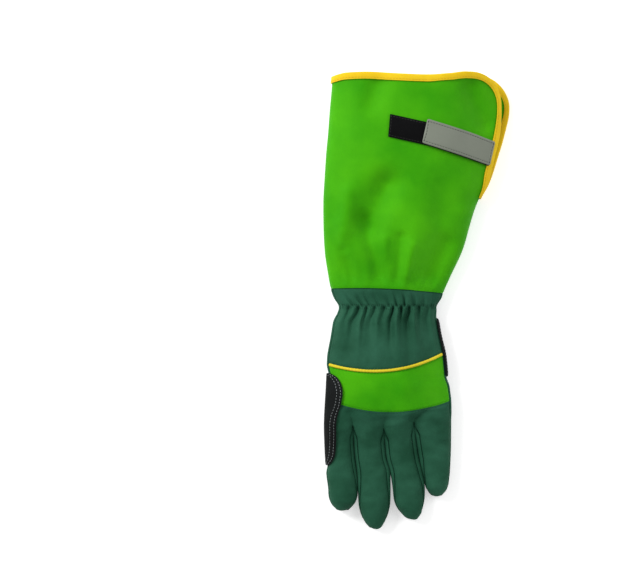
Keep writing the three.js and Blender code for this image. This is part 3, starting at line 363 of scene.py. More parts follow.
def clothWall(name, node, finish, grids, lift, wall, wrinkle=None, edgeDip=0.0, edgeReach=1.2, groove=(), dropped=None):
    points = np.concatenate([g["points"].reshape(-1, 3) for g in grids])
    places = np.concatenate([g["place"].reshape(-1, 2) for g in grids])
    border = np.concatenate([g["border"].reshape(-1) for g in grids])
    quads, start = [], 0
    for g in grids:
        rows, cols = g["points"].shape[:2]
        ids = np.arange(start, start + rows * cols).reshape(rows, cols)
        quad = np.stack([ids[:-1, :-1], ids[:-1, 1:], ids[1:, 1:], ids[1:, :-1]], -1).reshape(-1, 4)
        quads.append(quad[:, ::-1] if g["turned"] else quad)
        start += rows * cols
    quads = np.concatenate(quads)
    if dropped is not None:
        quads = quads[~dropped(points[quads].mean(axis=1))]
    grains = np.round(points * weldGrain).astype(np.int64)
    _, first, owner = np.unique(grains, axis=0, return_index=True, return_inverse=True)
    owner = owner.reshape(-1)
    used = np.unique(owner[quads])
    fresh = np.full(len(first), -1)
    fresh[used] = np.arange(len(used))
    owner, first = fresh[owner], first[used]
    welded, border = points[first], border[first]
    corners = welded[owner[quads]]
    faceNormals = np.cross(corners[:, 2] - corners[:, 0], corners[:, 3] - corners[:, 1])
    normals = np.zeros_like(welded)
    for k in range(4):
        np.add.at(normals, owner[quads[:, k]], faceNormals)
    normals = unit(normals)
    height = np.full(len(welded), float(lift)) - edgeDip * bell(border / edgeReach)
    for at, deep in groove:
        height -= deep * bell((border - at) / grooveWidth)
    if wrinkle is not None:
        height += wrinkled(welded, wrinkle) * ease(border / wrinkleFade)
    count = len(welded)
    inner = normals * np.maximum(height - wall, lift - wall - innerSink)[:, None]
    vertices = (np.concatenate([welded + normals * height[:, None], welded + inner]) + shift) / 1000
    faces, uvs, edges = [], [], {}
    for quad in quads.tolist():
        face, place = [], []
        for k in quad:
            v = int(owner[k])
            if v not in face:
                face.append(v)
                place.append(k)
        if len(face) < 3:
            continue
        faces.append(face)
        uvs.append(place)
        for k in range(len(face)):
            a, b = face[k - 1], face[k]
            if edges.pop((b, a), None) is None:
                edges[(a, b)] = (place[k - 1], place[k])
    faces += [[v + count for v in reversed(face)] for face in faces]
    uvs += [place[::-1] for place in uvs]
    for (a, b), (pa, pb) in edges.items():
        faces.append([b, a, a + count, b + count])
        uvs.append([pb, pa, pa, pb])
    dress(meshObject(name, vertices, faces, places, uvs), finish, node)


def linked(name, data):
    made = bpy.data.objects.new(name, data)
    bpy.context.scene.collection.objects.link(made)
    return made


def meshObject(name, vertices, faces, places, uvs):
    mesh = bpy.data.meshes.new(name)
    mesh.from_pydata([tuple(v) for v in vertices], [], faces)
    layer = mesh.uv_layers.new(name="along")
    layer.data.foreach_set("uv", np.array([places[k] for face in uvs for k in face], float).reshape(-1))
    mesh.validate()
    mesh.shade_smooth()
    mesh.set_sharp_from_angle(angle=radians(52))
    mesh.update()
    return linked(name, mesh)


def sweptPiece(name, node, finish, lines):  # each line runs along the piece, and they close round it
    rings = np.stack(lines, 1)
    count, size = rings.shape[:2]
    along = lengths(rings.mean(axis=1)[:, None], 0)[:, 0]
    around = lengths(np.concatenate([rings[count // 2], rings[count // 2, :1]])[:, None], 0)[:, 0]
    places = np.stack(np.meshgrid(around, along), -1).reshape(-1, 2)
    faces, uvs = [], []
    for i in range(count - 1):
        for j in range(size):
            k = (j + 1) % size
            faces.append([i * size + j, i * size + k, (i + 1) * size + k, (i + 1) * size + j])
            here, after = i * (size + 1) + j, (i + 1) * (size + 1) + j
            uvs.append([here, here + 1, after + 1, after])
    faces += [list(range(size))[::-1], [(count - 1) * size + j for j in range(size)]]
    uvs += [[0] * size, [0] * size]
    flat = rings.reshape(-1, 3)
    volume = sum(np.dot(flat[a], np.cross(flat[b], flat[c]) + np.cross(flat[c], flat[d])) for a, b, c, d in faces[:-2])
    if volume < 0:
        faces, uvs = [f[::-1] for f in faces], [u[::-1] for u in uvs]
    dress(meshObject(name, (flat + shift) / 1000, faces, places, uvs), finish, node)


# Rows of sewing at a distance in from a grid's borders
threads = {}


def sewRow(thread, points, normals, lift):
    threads.setdefault(thread, []).append(((points + normals * lift + shift) / 1000, normals))


def sewBorder(thread, grid, inset, lift, sides="lrtb"):
    points, normals = grid["points"], grid["normals"]
    both = np.concatenate([points, normals], -1)
    for side in sides:
        along, data = (grid["su"], both) if side in "lr" else (grid["sv"].T, both.transpose(1, 0, 2))
        cross = grid["sv"] if side in "lr" else grid["su"].T
        row = []
        for k in range(len(data)):
            total = along[k, -1]
            want = inset if side in "lt" else total - inset
            place = [np.interp(want, along[k], data[k, :, c]) for c in range(6)]
            j = 0 if side in "lt" else -1
            if total > 2.5 * inset and inset * 0.98 <= cross[k, j] <= cross[-1, j] - inset * 0.98:
                row.append(place)
        if len(row) > 1:
            row = np.array(row)
            sewRow(thread, row[:, :3], row[:, 3:], lift)


# Looks
def wired(tree, kinds, wires, **nodes):
    """Adds nodes by name, each with its kind, settings and input values, and the wires between their sockets."""
    def key(socket):
        return int(socket) if socket.isdigit() else socket

    for name, (kind, settings, values) in kinds.items():
        nodes[name] = tree.nodes.new(kind)
        for setting, value in settings.items():
            setattr(nodes[name], setting, value)
        for socket, value in values.items():
            nodes[name].inputs[socket].default_value = value
    for wire in wires.split(","):
        (source, out), (target, into) = (end.strip().split(".") for end in wire.split(">"))
        tree.links.new(nodes[source].outputs[key(out)], nodes[target].inputs[key(into)])
    return nodes


def fabric(name, look):
    made = bpy.data.materials.new(name)
    made.use_nodes = True
    shader = made.node_tree.nodes["Principled BSDF"]
    for socket in ("Roughness", "Sheen Weight", "Sheen Roughness", "Specular IOR Level"):
        shader.inputs[socket].default_value = look[socket]
    shader.inputs["Sheen Tint"].default_value = (*look["sheenTint"], 1)
    rough = look["Roughness"]
    kinds = {"places": ("ShaderNodeTexCoord", {}, {}), "tone": ("ShaderNodeValToRGB", {}, {}),
             "mapping": ("ShaderNodeMapping", {}, {"Rotation": (0, 0, radians(look["turn"]))}),
             "over": ("ShaderNodeMath", {"operation": "SUBTRACT"}, {}),
             "weave": ("ShaderNodeMath", {"operation": "ABSOLUTE"}, {}),
             "cloudy": ("ShaderNodeTexNoise", {}, {"Scale": look["cloudScale"], "Detail": 4}),
             "fine": ("ShaderNodeTexNoise", {}, {"Scale": look["fineScale"], "Detail": 3}),
             "rough": ("ShaderNodeMapRange", {}, {"To Min": rough - 0.07, "To Max": min(1, rough + 0.07)}),
             "height": ("ShaderNodeMath", {"operation": "MULTIPLY_ADD"}, {1: look["nap"]}),
             "bump": ("ShaderNodeBump", {}, {"Strength": look["bump"], "Distance": look["bumpDepth"]})}
    for axis, pitch in zip("XY", look["pitch"]):
        kinds["bands" + axis] = (
            "ShaderNodeTexWave", {"wave_type": "BANDS", "bands_direction": axis, "wave_profile": "SIN"},
            {"Scale": pi / 10 / pitch, "Distortion": look["unevenness"], "Detail Scale": 0.6})
    for part in ("weave", "fine"):
        amount = look[part + "Shade"]
        kinds[part + "Level"] = ("ShaderNodeMapRange", {}, {"To Min": 1 - amount, "To Max": 1 + amount})
        kinds[part + "Shade"] = ("ShaderNodeVectorMath", {"operation": "SCALE"}, {})
    nodes = wired(made.node_tree, kinds, """
        places.UV > mapping.Vector, mapping.Vector > bandsX.Vector, mapping.Vector > bandsY.Vector,
        bandsX.Fac > over.0, bandsY.Fac > over.1, over.0 > weave.0, places.Object > cloudy.Vector,
        places.Object > fine.Vector, cloudy.Fac > tone.Fac, weave.0 > weaveLevel.Value, fine.Fac > fineLevel.Value,
        tone.Color > weaveShade.0, weaveLevel.Result > weaveShade.Scale, weaveShade.Vector > fineShade.0,
        fineLevel.Result > fineShade.Scale, fineShade.Vector > shader.Base Color, fine.Fac > rough.Value,
        rough.Result > shader.Roughness, fine.Fac > height.0, weave.0 > height.2, height.0 > bump.Height,
        bump.Normal > shader.Normal""", shader=shader)
    for stop, at, shade in zip(nodes["tone"].color_ramp.elements, (0.32, 0.68), ("deep", "light")):
        stop.position, stop.color = at, (*look[shade], 1)
    return made


plain = {"turn": 0, "unevenness": 0.6, "cloudScale": 22, "fineScale": 900, "weaveShade": 0.05, "fineShade": 0.08,
         "nap": 0.6, "bump": 0.5, "bumpDepth": 0.00014, "Roughness": 0.56, "Sheen Weight": 0.03, "Sheen Roughness": 0.4,
         "Specular IOR Level": 0.09, "pitch": (0.62, 0.62)}
# The deep tone, the light tone and the sheen of each, and what differs from the plain cloth
looks = {
    "brightCloth": [(0.03, 0.285, 0.0008), (0.062, 0.385, 0.002), (0.85, 1.0, 0.7),
                    {"Specular IOR Level": 0.05, "Sheen Weight": 0.14}],
    "darkCloth": [(0.0095, 0.061, 0.031), (0.02, 0.096, 0.054), (0.6, 0.9, 0.75),
                  {"pitch": (0.8, 0.7), "weaveShade": 0.1, "fineShade": 0.16, "cloudScale": 40, "turn": 45,
                   "Roughness": 0.7}],
    "yellowTape": [(0.66, 0.43, 0.006), (0.82, 0.56, 0.014), (1.0, 0.9, 0.6),
                   {"pitch": (1.4, 0.8), "bumpDepth": 0.0002}],
    "yellowCord": [(0.55, 0.43, 0.012), (0.7, 0.56, 0.03), (1.0, 0.95, 0.7), {"pitch": (1.2, 0.7)}],
    "blackSuede": [(0.004, 0.0048, 0.0048), (0.0095, 0.011, 0.011), (0.7, 0.75, 0.75),
                   {"nap": 2.5, "fineScale": 1300, "fineShade": 0.4, "bumpDepth": 0.00022, "Roughness": 0.88,
                    "Sheen Weight": 0.02}],
    "blackLoops": [(0.002, 0.002, 0.0023), (0.0042, 0.0042, 0.0048), (0.6, 0.6, 0.7),
                   {"nap": 3.0, "fineScale": 1700, "fineShade": 0.4, "bumpDepth": 0.0003, "Roughness": 0.95,
                    "Sheen Weight": 0.01}],
    "greyTab": [(0.16, 0.178, 0.142), (0.195, 0.215, 0.172), (1, 1, 1),
                {"weaveShade": 0.03, "fineShade": 0.05, "bumpDepth": 0.00006, "Roughness": 0.5, "Sheen Weight": 0.03,
                 "Specular IOR Level": 0.3}],
    "greenThread": [(0.02, 0.16, 0.004), (0.03, 0.22, 0.006), (0.7, 1, 0.6), {"pitch": (0.3, 0.3)}],
    "darkThread": [(0.008, 0.05, 0.026), (0.012, 0.065, 0.036), (0.6, 0.9, 0.75), {"pitch": (0.3, 0.3)}],
    "yellowThread": [(0.5, 0.27, 0.01), (0.62, 0.36, 0.016), (1, 0.9, 0.6), {"pitch": (0.3, 0.3)}],
    "paleThread": [(0.2, 0.22, 0.22), (0.34, 0.37, 0.37), (1, 1, 1), {"pitch": (0.3, 0.3)}],
    "blackThread": [(0.02, 0.02, 0.02), (0.035, 0.035, 0.035), (1, 1, 1), {"pitch": (0.3, 0.3)}]}
finishes = {name: fabric(name, {**plain, "deep": deep, "light": light, "sheenTint": sheen, **more})
            for name, (deep, light, sheen, more) in looks.items()}


def dress(piece, finish, node=None):
    piece.data.materials.append(finishes[finish])
    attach(piece, "root")
    if node:
        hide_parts(node)


# Cuff: one sheet from the slit's lower edge round the folded side to its upper edge
cuff = {"lowerColumns": 70, "upperColumns": 120, "rows": 130, "seamDip": 0.5, "plainFoot": 13, "puckersTall": 15,
        "footLift": 0.55}
# Soft folds on its back, each from one place to another, with half its width and its depth (raised below 0)
cuffFolds = {
    "x0": [-1, -37, -22, -3, 11, 22, 52, -41, -13, 74, 50, -40, 70, 0],
    "y0": [96, 88, 64, 46, 48, 40, 42, 36, 184, 184, 92, 34, 70, 120],
    "x1": [-15, -40, -6, -1, 9, 15, 39, -31, -17, 88, 44, -46, 78, -30],
    "y1": [60, 54, 5, 8, 4, 14, 14, 4, 168, 153, 70, 60, 110, 140],
    "half": [12, 8, 7, 4, 4.4, 5.5, 9.5, 4.5, 8, 8, 13, 6, 9, 14],
    "deep": [7, -2.6, 4.6, -1.8, 3, -1.8, 5.4, 2.2, 2.2, 4.2, 2.2, -1.4, -1.2, -1.0]}


def foldAt(table, x, y):
    total = 0 * x
    for x0, y0, x1, y1, half, deep in zip(*table.values()):
        dx, dy = x1 - x0, y1 - y0
        t = ((x - x0) * dx + (y - y0) * dy) / (dx * dx + dy * dy)
        near = np.clip(t, 0, 1)
        away = np.hypot(x - x0 - near * dx, y - y0 - near * dy)
        total = total + deep * bell(away / half)
    return total


def cuffFoot(share):
    return seamAt(wristSeam, share) - 0.1


def cuffMouth(share):
    left, right = edgesAt(np.asarray(float(cuffLength)))
    past = np.maximum(0, mix(left, right, share) - (right - cornerRadius))
    drop = cornerRadius - np.sqrt(np.maximum(0, cornerRadius ** 2 - past ** 2))
    return cuffLength + mouthWave * follow(mouthEdge, "rise", share) - drop


def cuffPlain(angle, height):
    share = shareOf(angle)
    y = mix(cuffFoot(share), cuffMouth(share), height)
    lower = np.asarray(angle > -pi)[..., None]
    return np.where(lower, sectionPoint(angle, y, "lower"), sectionPoint(angle, y, "upper"))


def cuffPoint(angle, height):
    p = cuffPlain(angle, height)
    share, arch, up = shareOf(angle), np.abs(np.sin(angle)), height * cuffLength
    upper = np.where(angle < -pi, ease(arch / 0.55), 0) * ease((1 - height) / 0.05) * ease(up / cuff["plainFoot"])
    p[..., 2] -= foldAt(cuffFolds, p[..., 0], p[..., 1]) * upper
    pucker = 0.3 * np.sin(share * 83 + 2 * np.sin(share * 9)) + 0.5 * np.sin(share * 41 + 1)
    foot = bell(up / 5)  # plain and a little raised, over the wrist's edge
    lift = pucker * np.exp(-up / cuff["puckersTall"]) * (1 - foot) + cuff["footLift"] * foot
    p[..., 2] += lift * ease(arch / 0.6) * (np.sin(angle) > 0)
    return p


cuffAngles = np.concatenate([turns(cuff["lowerColumns"], 0, -pi), turns(cuff["upperColumns"], -pi, -2 * pi)[1:]])
cuffGrid = clothGrid(cuffPoint, cuffAngles, turns(cuff["rows"]), borders="t")
clothWall("cuffCloth", "cuff", "brightCloth", [cuffGrid], 0, cuffWall, (0.45, 26, 34, 3.1), cuff["seamDip"])

# Tape over the mouth and both edges of the slit
tape = {"stationsAside": 90, "lowerStations": 150, "upperStations": 170, "pucker": 0.12, "puckerPitch": 3.2,
        "taper": 24, "narrower": 0.38, "stitchesAt": 0.24}
footHeight = (slitFoot - cuffFoot(1.0)) / (cuffMouth(1.0) - cuffFoot(1.0))
openHeights = turns(tape["stationsAside"], mix(footHeight, 1, 0.12), 1)[:-1]
fineAngles = np.concatenate([turns(tape["lowerStations"], 0, -pi), turns(tape["upperStations"], -pi, -2 * pi)[1:]])
pathAngles = np.concatenate([0 * openHeights, fineAngles, 0 * openHeights - 2 * pi])
pathHeights = np.concatenate([openHeights, 0 * fineAngles + 1, openHeights[::-1]])
tapeEdge = cuffPlain(pathAngles, pathHeights)
tapeWays = unit(np.gradient(tapeEdge, axis=0))
lowerSide = pathAngles > -pi
tapeLong = lengths(tapeEdge[:, None], 0)[:, 0]
tapeWide = tapeWidth * mix(0.3, 1, ease(np.minimum(tapeLong, tapeLong[-1] - tapeLong) / tape["taper"]))
tapeWide *= 1 - tape["narrower"] * gapeAt(tapeEdge[:, 1])
inward = unit(np.stack([-tapeWays[:, 1], tapeWays[:, 0]], -1)) * np.where(lowerSide, 1, -1)[:, None]
targets = inward * tapeWide[:, None] + tapeEdge[:, :2]


def onBothSides(shape, *places):
    return np.where(lowerSide[:, None], *(shape(side, *places) for side in ("lower", "upper")))


beside = onBothSides(cuffSheet, targets[:, 0], targets[:, 1])
below = onBothSides(lambda side, angle, y: sectionPoint(angle, y, side), pathAngles, tapeEdge[:, 1] - tapeWidth)
tapeInner = mix(below, beside, ease((shareOf(pathAngles) - 0.57) / 0.06)[:, None])
tapeOut = unit(tapeEdge - tapeInner)
tapeNormal = unit(np.cross(tapeWays, tapeOut))
back = -cuffWall - tapeGap
middleV, halfV = (tapeLift + back - tapeWall) / 2, (tapeLift - back + tapeWall) / 2
# Round the tape's section: share of its width, then how far out and up from there
profile = [(0, -0.2, tapeLift - 0.6), (0, -0.12, tapeLift - 0.12), (0.12, 0, tapeLift + 0.05),
           (0.24, 0, tapeLift - 0.14), (0.36, 0, tapeLift + 0.06), (0.6, 0, tapeLift + 0.1), (0.85, 0, tapeLift + 0.02)]
profile += [(1, 0.2 + (tapeLift - 0.2) * cos(t), middleV + halfV * sin(t))
            for t in np.radians(np.linspace(84, -84, 11))]
profile += [(0.7, 0, back - tapeWall), (0.24, 0, back - tapeWall + 0.1), (0, -0.1, back - tapeWall + 0.1),
            (0, -0.2, back - 0.3), (0, 0, back), (1, tapeGap, back), (1, tapeGap, tapeGap), (0, 0, tapeGap)]
rings = []
for share, u, v in profile:
    ripple = tape["pucker"] * np.sin(2 * pi * tapeLong / tape["puckerPitch"]) * (1 if share < 0.3 else 0.4)
    rings.append(mix(tapeInner, tapeEdge, share) + tapeOut * (u - abs(ripple) * (share == 0))[:, None]
                 + tapeNormal * (v + ripple * (v > 0))[:, None])
sweptPiece("cuffTape", "cuff_binding", "yellowTape", rings)
tapeRow = mix(tapeInner, tapeEdge, tape["stitchesAt"])[2:-2]
sewRow("yellowThread", tapeRow, tapeNormal[2:-2], tapeLift + 0.02)
sewRow("yellowThread", tapeRow, -tapeNormal[2:-2], tapeWall - back - 0.02)

# Back of the wrist, gathered by an elastic. Ridges and waves are shares of the gathers' depth.
wrist = {"columns": 250, "rows": 90, "count": 11, "depth": 1.45, "at": 15, "reach": 46, "lean": 0.35, "seamDip": 0.45,
         "ridges": 1.1, "waves": 3.1, "waveReach": 36, "under": 0.7}
backShares = [float(shareOf(pi - sideEdge("back"))), float(shareOf(sideEdge("back")))]
besidePiping = pipingWidth / 2 + seamGap


def backAngle(across):
    return angleOf(mix(*backShares, across))


def gatherLift(share, y):
    below = -wrist["at"] - y
    under, over = np.maximum(0, below), np.minimum(0, below)
    fade = np.where(below > 0, bell(below / (0.55 * wrist["reach"])), bell(below / (0.7 * wrist["at"])))
    turn = wrist["count"] * (share + 0.009 * np.sin(19 * share + 1) + 0.004 * np.sin(47 * share))
    valleyBelow = bell(((turn + 0.5) % 1 - 0.5) / mix(0.13, 0.3, ease(below / 26)))
    lean = turn + 0.5 - wrist["lean"] * over / 9
    valleyAbove = bell(((lean + 0.5) % 1 - 0.5) / 0.17)
    low = bell(under / (0.5 * wrist["reach"])) * (0.9 - 1.9 * valleyBelow - wrist["ridges"] * np.cos(2 * pi * turn))
    low -= wrist["waves"] * ease(under / 15) * bell(under / wrist["waveReach"]) * np.cos(pi * turn + 0.9)
    high = bell(over / (0.8 * wrist["at"])) * (0.9 - 2.3 * valleyAbove)
    uneven = np.maximum(0, np.sin(pi * share)) ** 0.5 * wrist["depth"] * (0.85 + 0.3 * np.sin(11 * share + 0.4))
    return uneven * mix(high, low, ease((below + 1.6) / 3.2)) * fade ** 0.2


def wristPoint(across, depth):
    share = mix(*backShares, across)
    y = mix(seamAt(wristSeam, share) + wrist["under"], seamAt(pipingSeam, share) + besidePiping - 0.35, depth)
    p = sectionPoint(backAngle(across), y)
    goesUnder = bell(depth / 0.035)  # the cuff's foot
    p[..., 2] += gatherLift(across, p[..., 1]) * (1 - bell(depth / 0.07)) - goesUnder
    return p


wristGrid = clothGrid(wristPoint, turns(wrist["columns"]), turns(wrist["rows"]), True)
clothWall("wristCloth", "wrist_panel", "darkCloth", [wristGrid], 0, handWall, (0.5, 6, 16, 8.3), wrist["seamDip"])
sewBorder("darkThread", wristGrid, 1.6, -0.15, "tb")
zigzag = {"legs": 92, "half": 2.6, "thread": 0.34, "lift": 0.12}
zigAcross = turns(zigzag["legs"], 0.02, 0.98)
zigY = zigzag["half"] * (-1.0) ** np.arange(1, zigzag["legs"] + 2) - wrist["at"]
zigPoints = sectionPoint(backAngle(zigAcross), zigY)
zigPoints[:, 2] += gatherLift(zigAcross, zigY) + zigzag["lift"]

# Piping: a yellow cord let into the seam above the knuckles
piping = {"stations": 260, "sides": 16, "rise": 0.3, "twist": 2.9}
pipeAcross = turns(piping["stations"], 0.01, 0.99)
pipeMiddle = sectionPoint(backAngle(pipeAcross), seamAt(pipingSeam, mix(*backShares, pipeAcross)))
pipeWay = unit(np.gradient(pipeMiddle, axis=0))
pipeUp = unit(np.array([0, 0, 1.0]) - pipeWay * pipeWay[:, 2:])
pipeBeside = np.cross(pipeWay, pipeUp)
pipeLong = lengths(pipeMiddle[:, None], 0)[:, 0]
pipeRadius = pipingWidth / 2 * (1 + 0.045 * np.sin(2 * pi * pipeLong / piping["twist"]) + 0.03 * np.sin(pipeLong / 3.1))
sweptPiece("pipingCord", "piping", "yellowCord", [
    pipeMiddle + pipeUp * (pipeRadius * (piping["rise"] + cos(t)))[:, None]
    + pipeBeside * (pipeRadius * sin(t))[:, None] for t in turns(piping["sides"], 0, 2 * pi)[1:]])

# Bright panel over the knuckles
knuckle = {"columns": 132, "rows": 40, "seamDip": 0.55}


def knucklePoint(column, depth):
    share = shareOf(columnAngle("back", column))
    y = mix(seamAt(pipingSeam, share) - besidePiping + 0.35, seamAt(knuckleSeam, share) - 0.1, depth)
    return handPoint("back", column, y)


knuckleGrid = clothGrid(knucklePoint, turns(knuckle["columns"], 0, columns), turns(knuckle["rows"]), True)
clothWall("knuckleCloth", "knuckle_panel", "brightCloth", [knuckleGrid], 0, handWall, (0.7, 17, 22, 5.7),
          knuckle["seamDip"])
sewBorder("greenThread", knuckleGrid, 1.5, -0.2, "tb")

# Backs and palm, each in one piece with its side of the fingers
hand = {"columns": 132, "backRows": 26, "palmRows": 84, "fingerColumns": 30, "fingerRows": 66, "seamDip": 0.7}


def fingerRows(index, count):
    tipFrom = tipStart(fingers[index])
    straight = turns(count * 2 // 3, 0, tipFrom)
    return np.concatenate([straight, mix(tipFrom, 1, np.sin(np.radians(turns(count // 3, 0, 90))))[1:]])


def handGrids(side, top, rows):
    def handPart(column, depth):
        share = shareOf(columnAngle(side, column))
        return handPoint(side, column, mix(seamAt(top, share) - seamGap / 2, forkAt(side, column), depth))

    grids = [clothGrid(handPart, turns(hand["columns"], 0, columns), turns(rows), side == "back", "lrt")]
    for index, finger in enumerate(fingers):
        def fingerPart(column, share, index=index, finger=finger):
            y = mix(forkAt(side, column), -palmLength - finger["length"], share)
            p = handPoint(side, column, y, index)
            p[..., 2] += (1.5 if side == "back" else -1.5) * seamGap * ease((share - 0.9) / 0.1)
            return p
        start = index * fingerColumns
        count = hand["columns"] // 4
        rows = fingerRows(index, hand["fingerRows"])
        grids.append(clothGrid(fingerPart, turns(count, start, start + fingerColumns), rows, side == "back", "lr"))
        grids[-1]["border"] += 5 * ease((rows - 0.86) / 0.1)[:, None]
    return grids


backGrids = handGrids("back", knuckleSeam, hand["backRows"])
clothWall("fingerBackCloth", "finger_backs", "darkCloth", backGrids, 0, handWall, (0.9, 13, 6.5, 2.2),
          hand["seamDip"], 1.6)
sewBorder("darkThread", backGrids[0], 1.5, -0.25, "t")
thumbHole = {"across": -0.27, "along": 0.42, "length": 40, "width": 27, "turn": 20}


def inHole(p):
    turn = radians(thumbHole["turn"])
    x, y = p[..., 0] - thumbHole["across"] * knuckleWidth, p[..., 1] + thumbHole["along"] * palmLength
    u, v = x * cos(turn) + y * sin(turn), -x * sin(turn) + y * cos(turn)
    return (2 * u / thumbHole["width"]) ** 2 + (2 * v / thumbHole["length"]) ** 2 < 1


clothWall("palmCloth", "palm", "darkCloth", handGrids("palm", wristSeam, hand["palmRows"]), 0, handWall,
          (0.35, 14, 10, 6.4), 0.4, dropped=inHole)

# Strips between the fingers
gusset = {"turns": 14, "rows": 44, "swell": (0.5, 0.75, 0.95)}
for index in range(3):
    def gussetPoint(turn, way, index=index):
        right = way < 0
        column = fingerColumns * (index + 1)
        out = np.zeros(np.shape(turn) + (3,))
        for own, other, here in ((index, index + 1, right), (index + 1, index, ~right)):
            for side in ("back", "palm"):
                pick = here & ((turn > 0) if side == "back" else (turn <= 0))
                if not pick.any():
                    continue
                t, w = turn[pick], np.abs(way[pick])
                forkY = mix(forkAt("palm", column), forkAt("back", column), (t + 1) / 2)
                y = mix(forkY, -palmLength - fingers[own]["length"], w) - seamGap * (1 - w)
                pull = 1 - ease((forkY - y) / fingerSeams["reach"])
                spread = mix(1, 0.62 if side == "back" else 0.25, np.sqrt(pull))
                angles = [(gussetAngle(k, side, y) - 2 * seamAngle) * t * spread for k in (own, other)]
                first = fingerPoint(own, angles[0] if own == index else pi - angles[0], y)
                second = fingerPoint(other, pi - angles[1] if own == index else angles[1], y)
                out[pick] = mix(first, second, (pull / 2)[..., None])
        return out
    ends = [fingerRows(k, gusset["rows"]) for k in (index, index + 1)]
    ends = [row[(row > 0) & (row < mix(tipStart(fingers[k]), 1, sin(radians(45))))]
            for k, row in zip((index, index + 1), ends)]
    grid = clothGrid(gussetPoint, turns(gusset["turns"], 1, -1), np.concatenate([-ends[0][::-1], [0], ends[1]]))
    name, swell = f"{fingers[index]['name']}_{fingers[index + 1]['name']}", gusset["swell"][index]
    clothWall("gussetCloth_" + name, "gusset_" + name, "darkCloth", [grid], swell, handWall, None, swell + 0.1, 1.1)

# Black caps over the palm side of the fingertips, and what they share with the other patches
caps = {"length": 32, "columns": 26, "rows": 34, "sewnAt": (1.4, 3.4)}


def patchOn(name, node, shape, us, vs, lift=patchRise, dip=0.45, rows=(1.5, 3.6), groove=0.22, sides="lrtb"):
    grid = clothGrid(shape, us, vs)
    clothWall(name, node, "blackSuede", [grid], lift, patchWall, edgeDip=dip, groove=[(at, groove) for at in rows])
    for at in rows:
        sewBorder("paleThread", grid, at, lift - threadSink, sides)
    return grid


for index, finger in enumerate(fingers):
    tipFrom = tipStart(finger)

    def capPoint(across, share, index=index, finger=finger):
        y = -palmLength - finger["length"] * share
        seam = np.maximum(radians(30), gussetAngle(index, "palm", y) + seamAngle)
        return fingerPoint(index, mix(-pi + seam, -seam, across), y)
    rows = np.concatenate([turns(caps["rows"] // 2, 1 - caps["length"] / finger["length"], tipFrom),
                           mix(tipFrom, 1, np.sin(np.radians(turns(caps["rows"] // 2, 0, 68))))[1:]])
    grid = patchOn("fingerCap_" + finger["name"], "cap_" + finger["name"], capPoint, turns(caps["columns"]), rows,
                   capLift, rows=caps["sewnAt"], sides="t")
    sewBorder("paleThread", grid, caps["sewnAt"][0], capLift - threadSink, "lrb")

# Black patches on the palm and round the index finger
heelPatch = {
    "at": [0.533, 0.546, 0.558, 0.575, 0.59, 0.625, 0.667, 0.708, 0.75, 0.792, 0.833, 0.875, 0.917, 0.958, 1],
    "from": [0.545, 0.49, 0.435, 0.325, 0.225, 0.125, 0.1, 0.125, 0.152, 0.175, 0.192, 0.207, 0.217, 0.222, 0.225],
    "to": [0.6, 0.622, 0.65, 0.69, 0.712, 0.722, 0.718, 0.702, 0.69, 0.677, 0.664, 0.653, 0.645, 0.638, 0.635]}
ballPatch = {
    "at": [0.185, 0.225, 0.285, 0.35, 0.41, 0.46],
    "left": [-0.04, -0.122, -0.12, -0.09, -0.05, -0.018],
    "right": [0.027, 0.06, 0.056, 0.04, 0.02, 0.004]}
rootPatch = {
    "at": [-0.37, -0.33, -0.29, -0.25, -0.2, -0.158, -0.11, -0.06, 0, 0.04, 0.079, 0.12, 0.155, 0.21, 0.26, 0.3,
        0.34, 0.385, 0.43, 0.458],
    "from": [0.69, 0.7, 0.72, 0.745, 0.765, 0.775, 0.785, 0.785, 0.785, 0.78, 0.775, 0.77, 0.765, 0.757, 0.75, 0.75,
        0.75, 0.757, 0.785, 0.835],
    "to": [0.74, 0.8, 0.88, 0.925, 0.99, 1.06, 1.045, 0.975, 0.975, 1.03, 1.055, 1.02, 0.93, 0.885, 0.885, 0.888,
        0.94, 0.975, 0.945, 0.89]}
indexPatch = {
    "width": 25.4,
    "at": [0.615, 0.645, 0.7, 0.76, 0.845, 0.9, 0.95, 1.03, 1.12, 1.217, 1.27, 1.305],
    "back": [0.03, 0.25, 0.41, 0.47, 0.44, 0.385, 0.355, 0.345, 0.33, 0.28, 0.18, 0.04],
    "palm": [0.02, 0.1, 0.27, 0.4, 0.47, 0.55, 0.61, 0.7, 0.7, 0.6, 0.42, 0.18]}


def edgesOf(table, along):
    return (follow(table, side, along) * knuckleWidth for side in ("left", "right"))


def patchAlong(table, at, depth):
    return mix(*(follow(table, side, at) for side in ("from", "to")), depth)


def heelPoint(around, depth):
    along = patchAlong(heelPatch, around, depth)
    return handPoint("palm", around * columns, -along * palmLength)


def ballPoint(across, along):
    return palmAt(mix(*edgesOf(ballPatch, along), across), -along * palmLength)


def rootPoint(across, depth):
    along = patchAlong(rootPatch, across, depth)
    return palmAt(across * knuckleWidth, -along * palmLength)


def indexPoint(u, along):
    y = -along * palmLength
    out = np.zeros(u.shape + (3,))
    for side, pick in (("back", u < 0), ("palm", u >= 0)):
        inset = follow(indexPatch, side, along[pick]) * indexPatch["width"]
        edge = handPoint(side, 0 * y[pick], y[pick], 0)[..., 0]
        column = columnAt(side, edge + inset, y[pick], fingerColumns - 1e-6)
        out[pick] = handPoint(side, np.abs(u[pick]) * column, y[pick], 0)
    return out


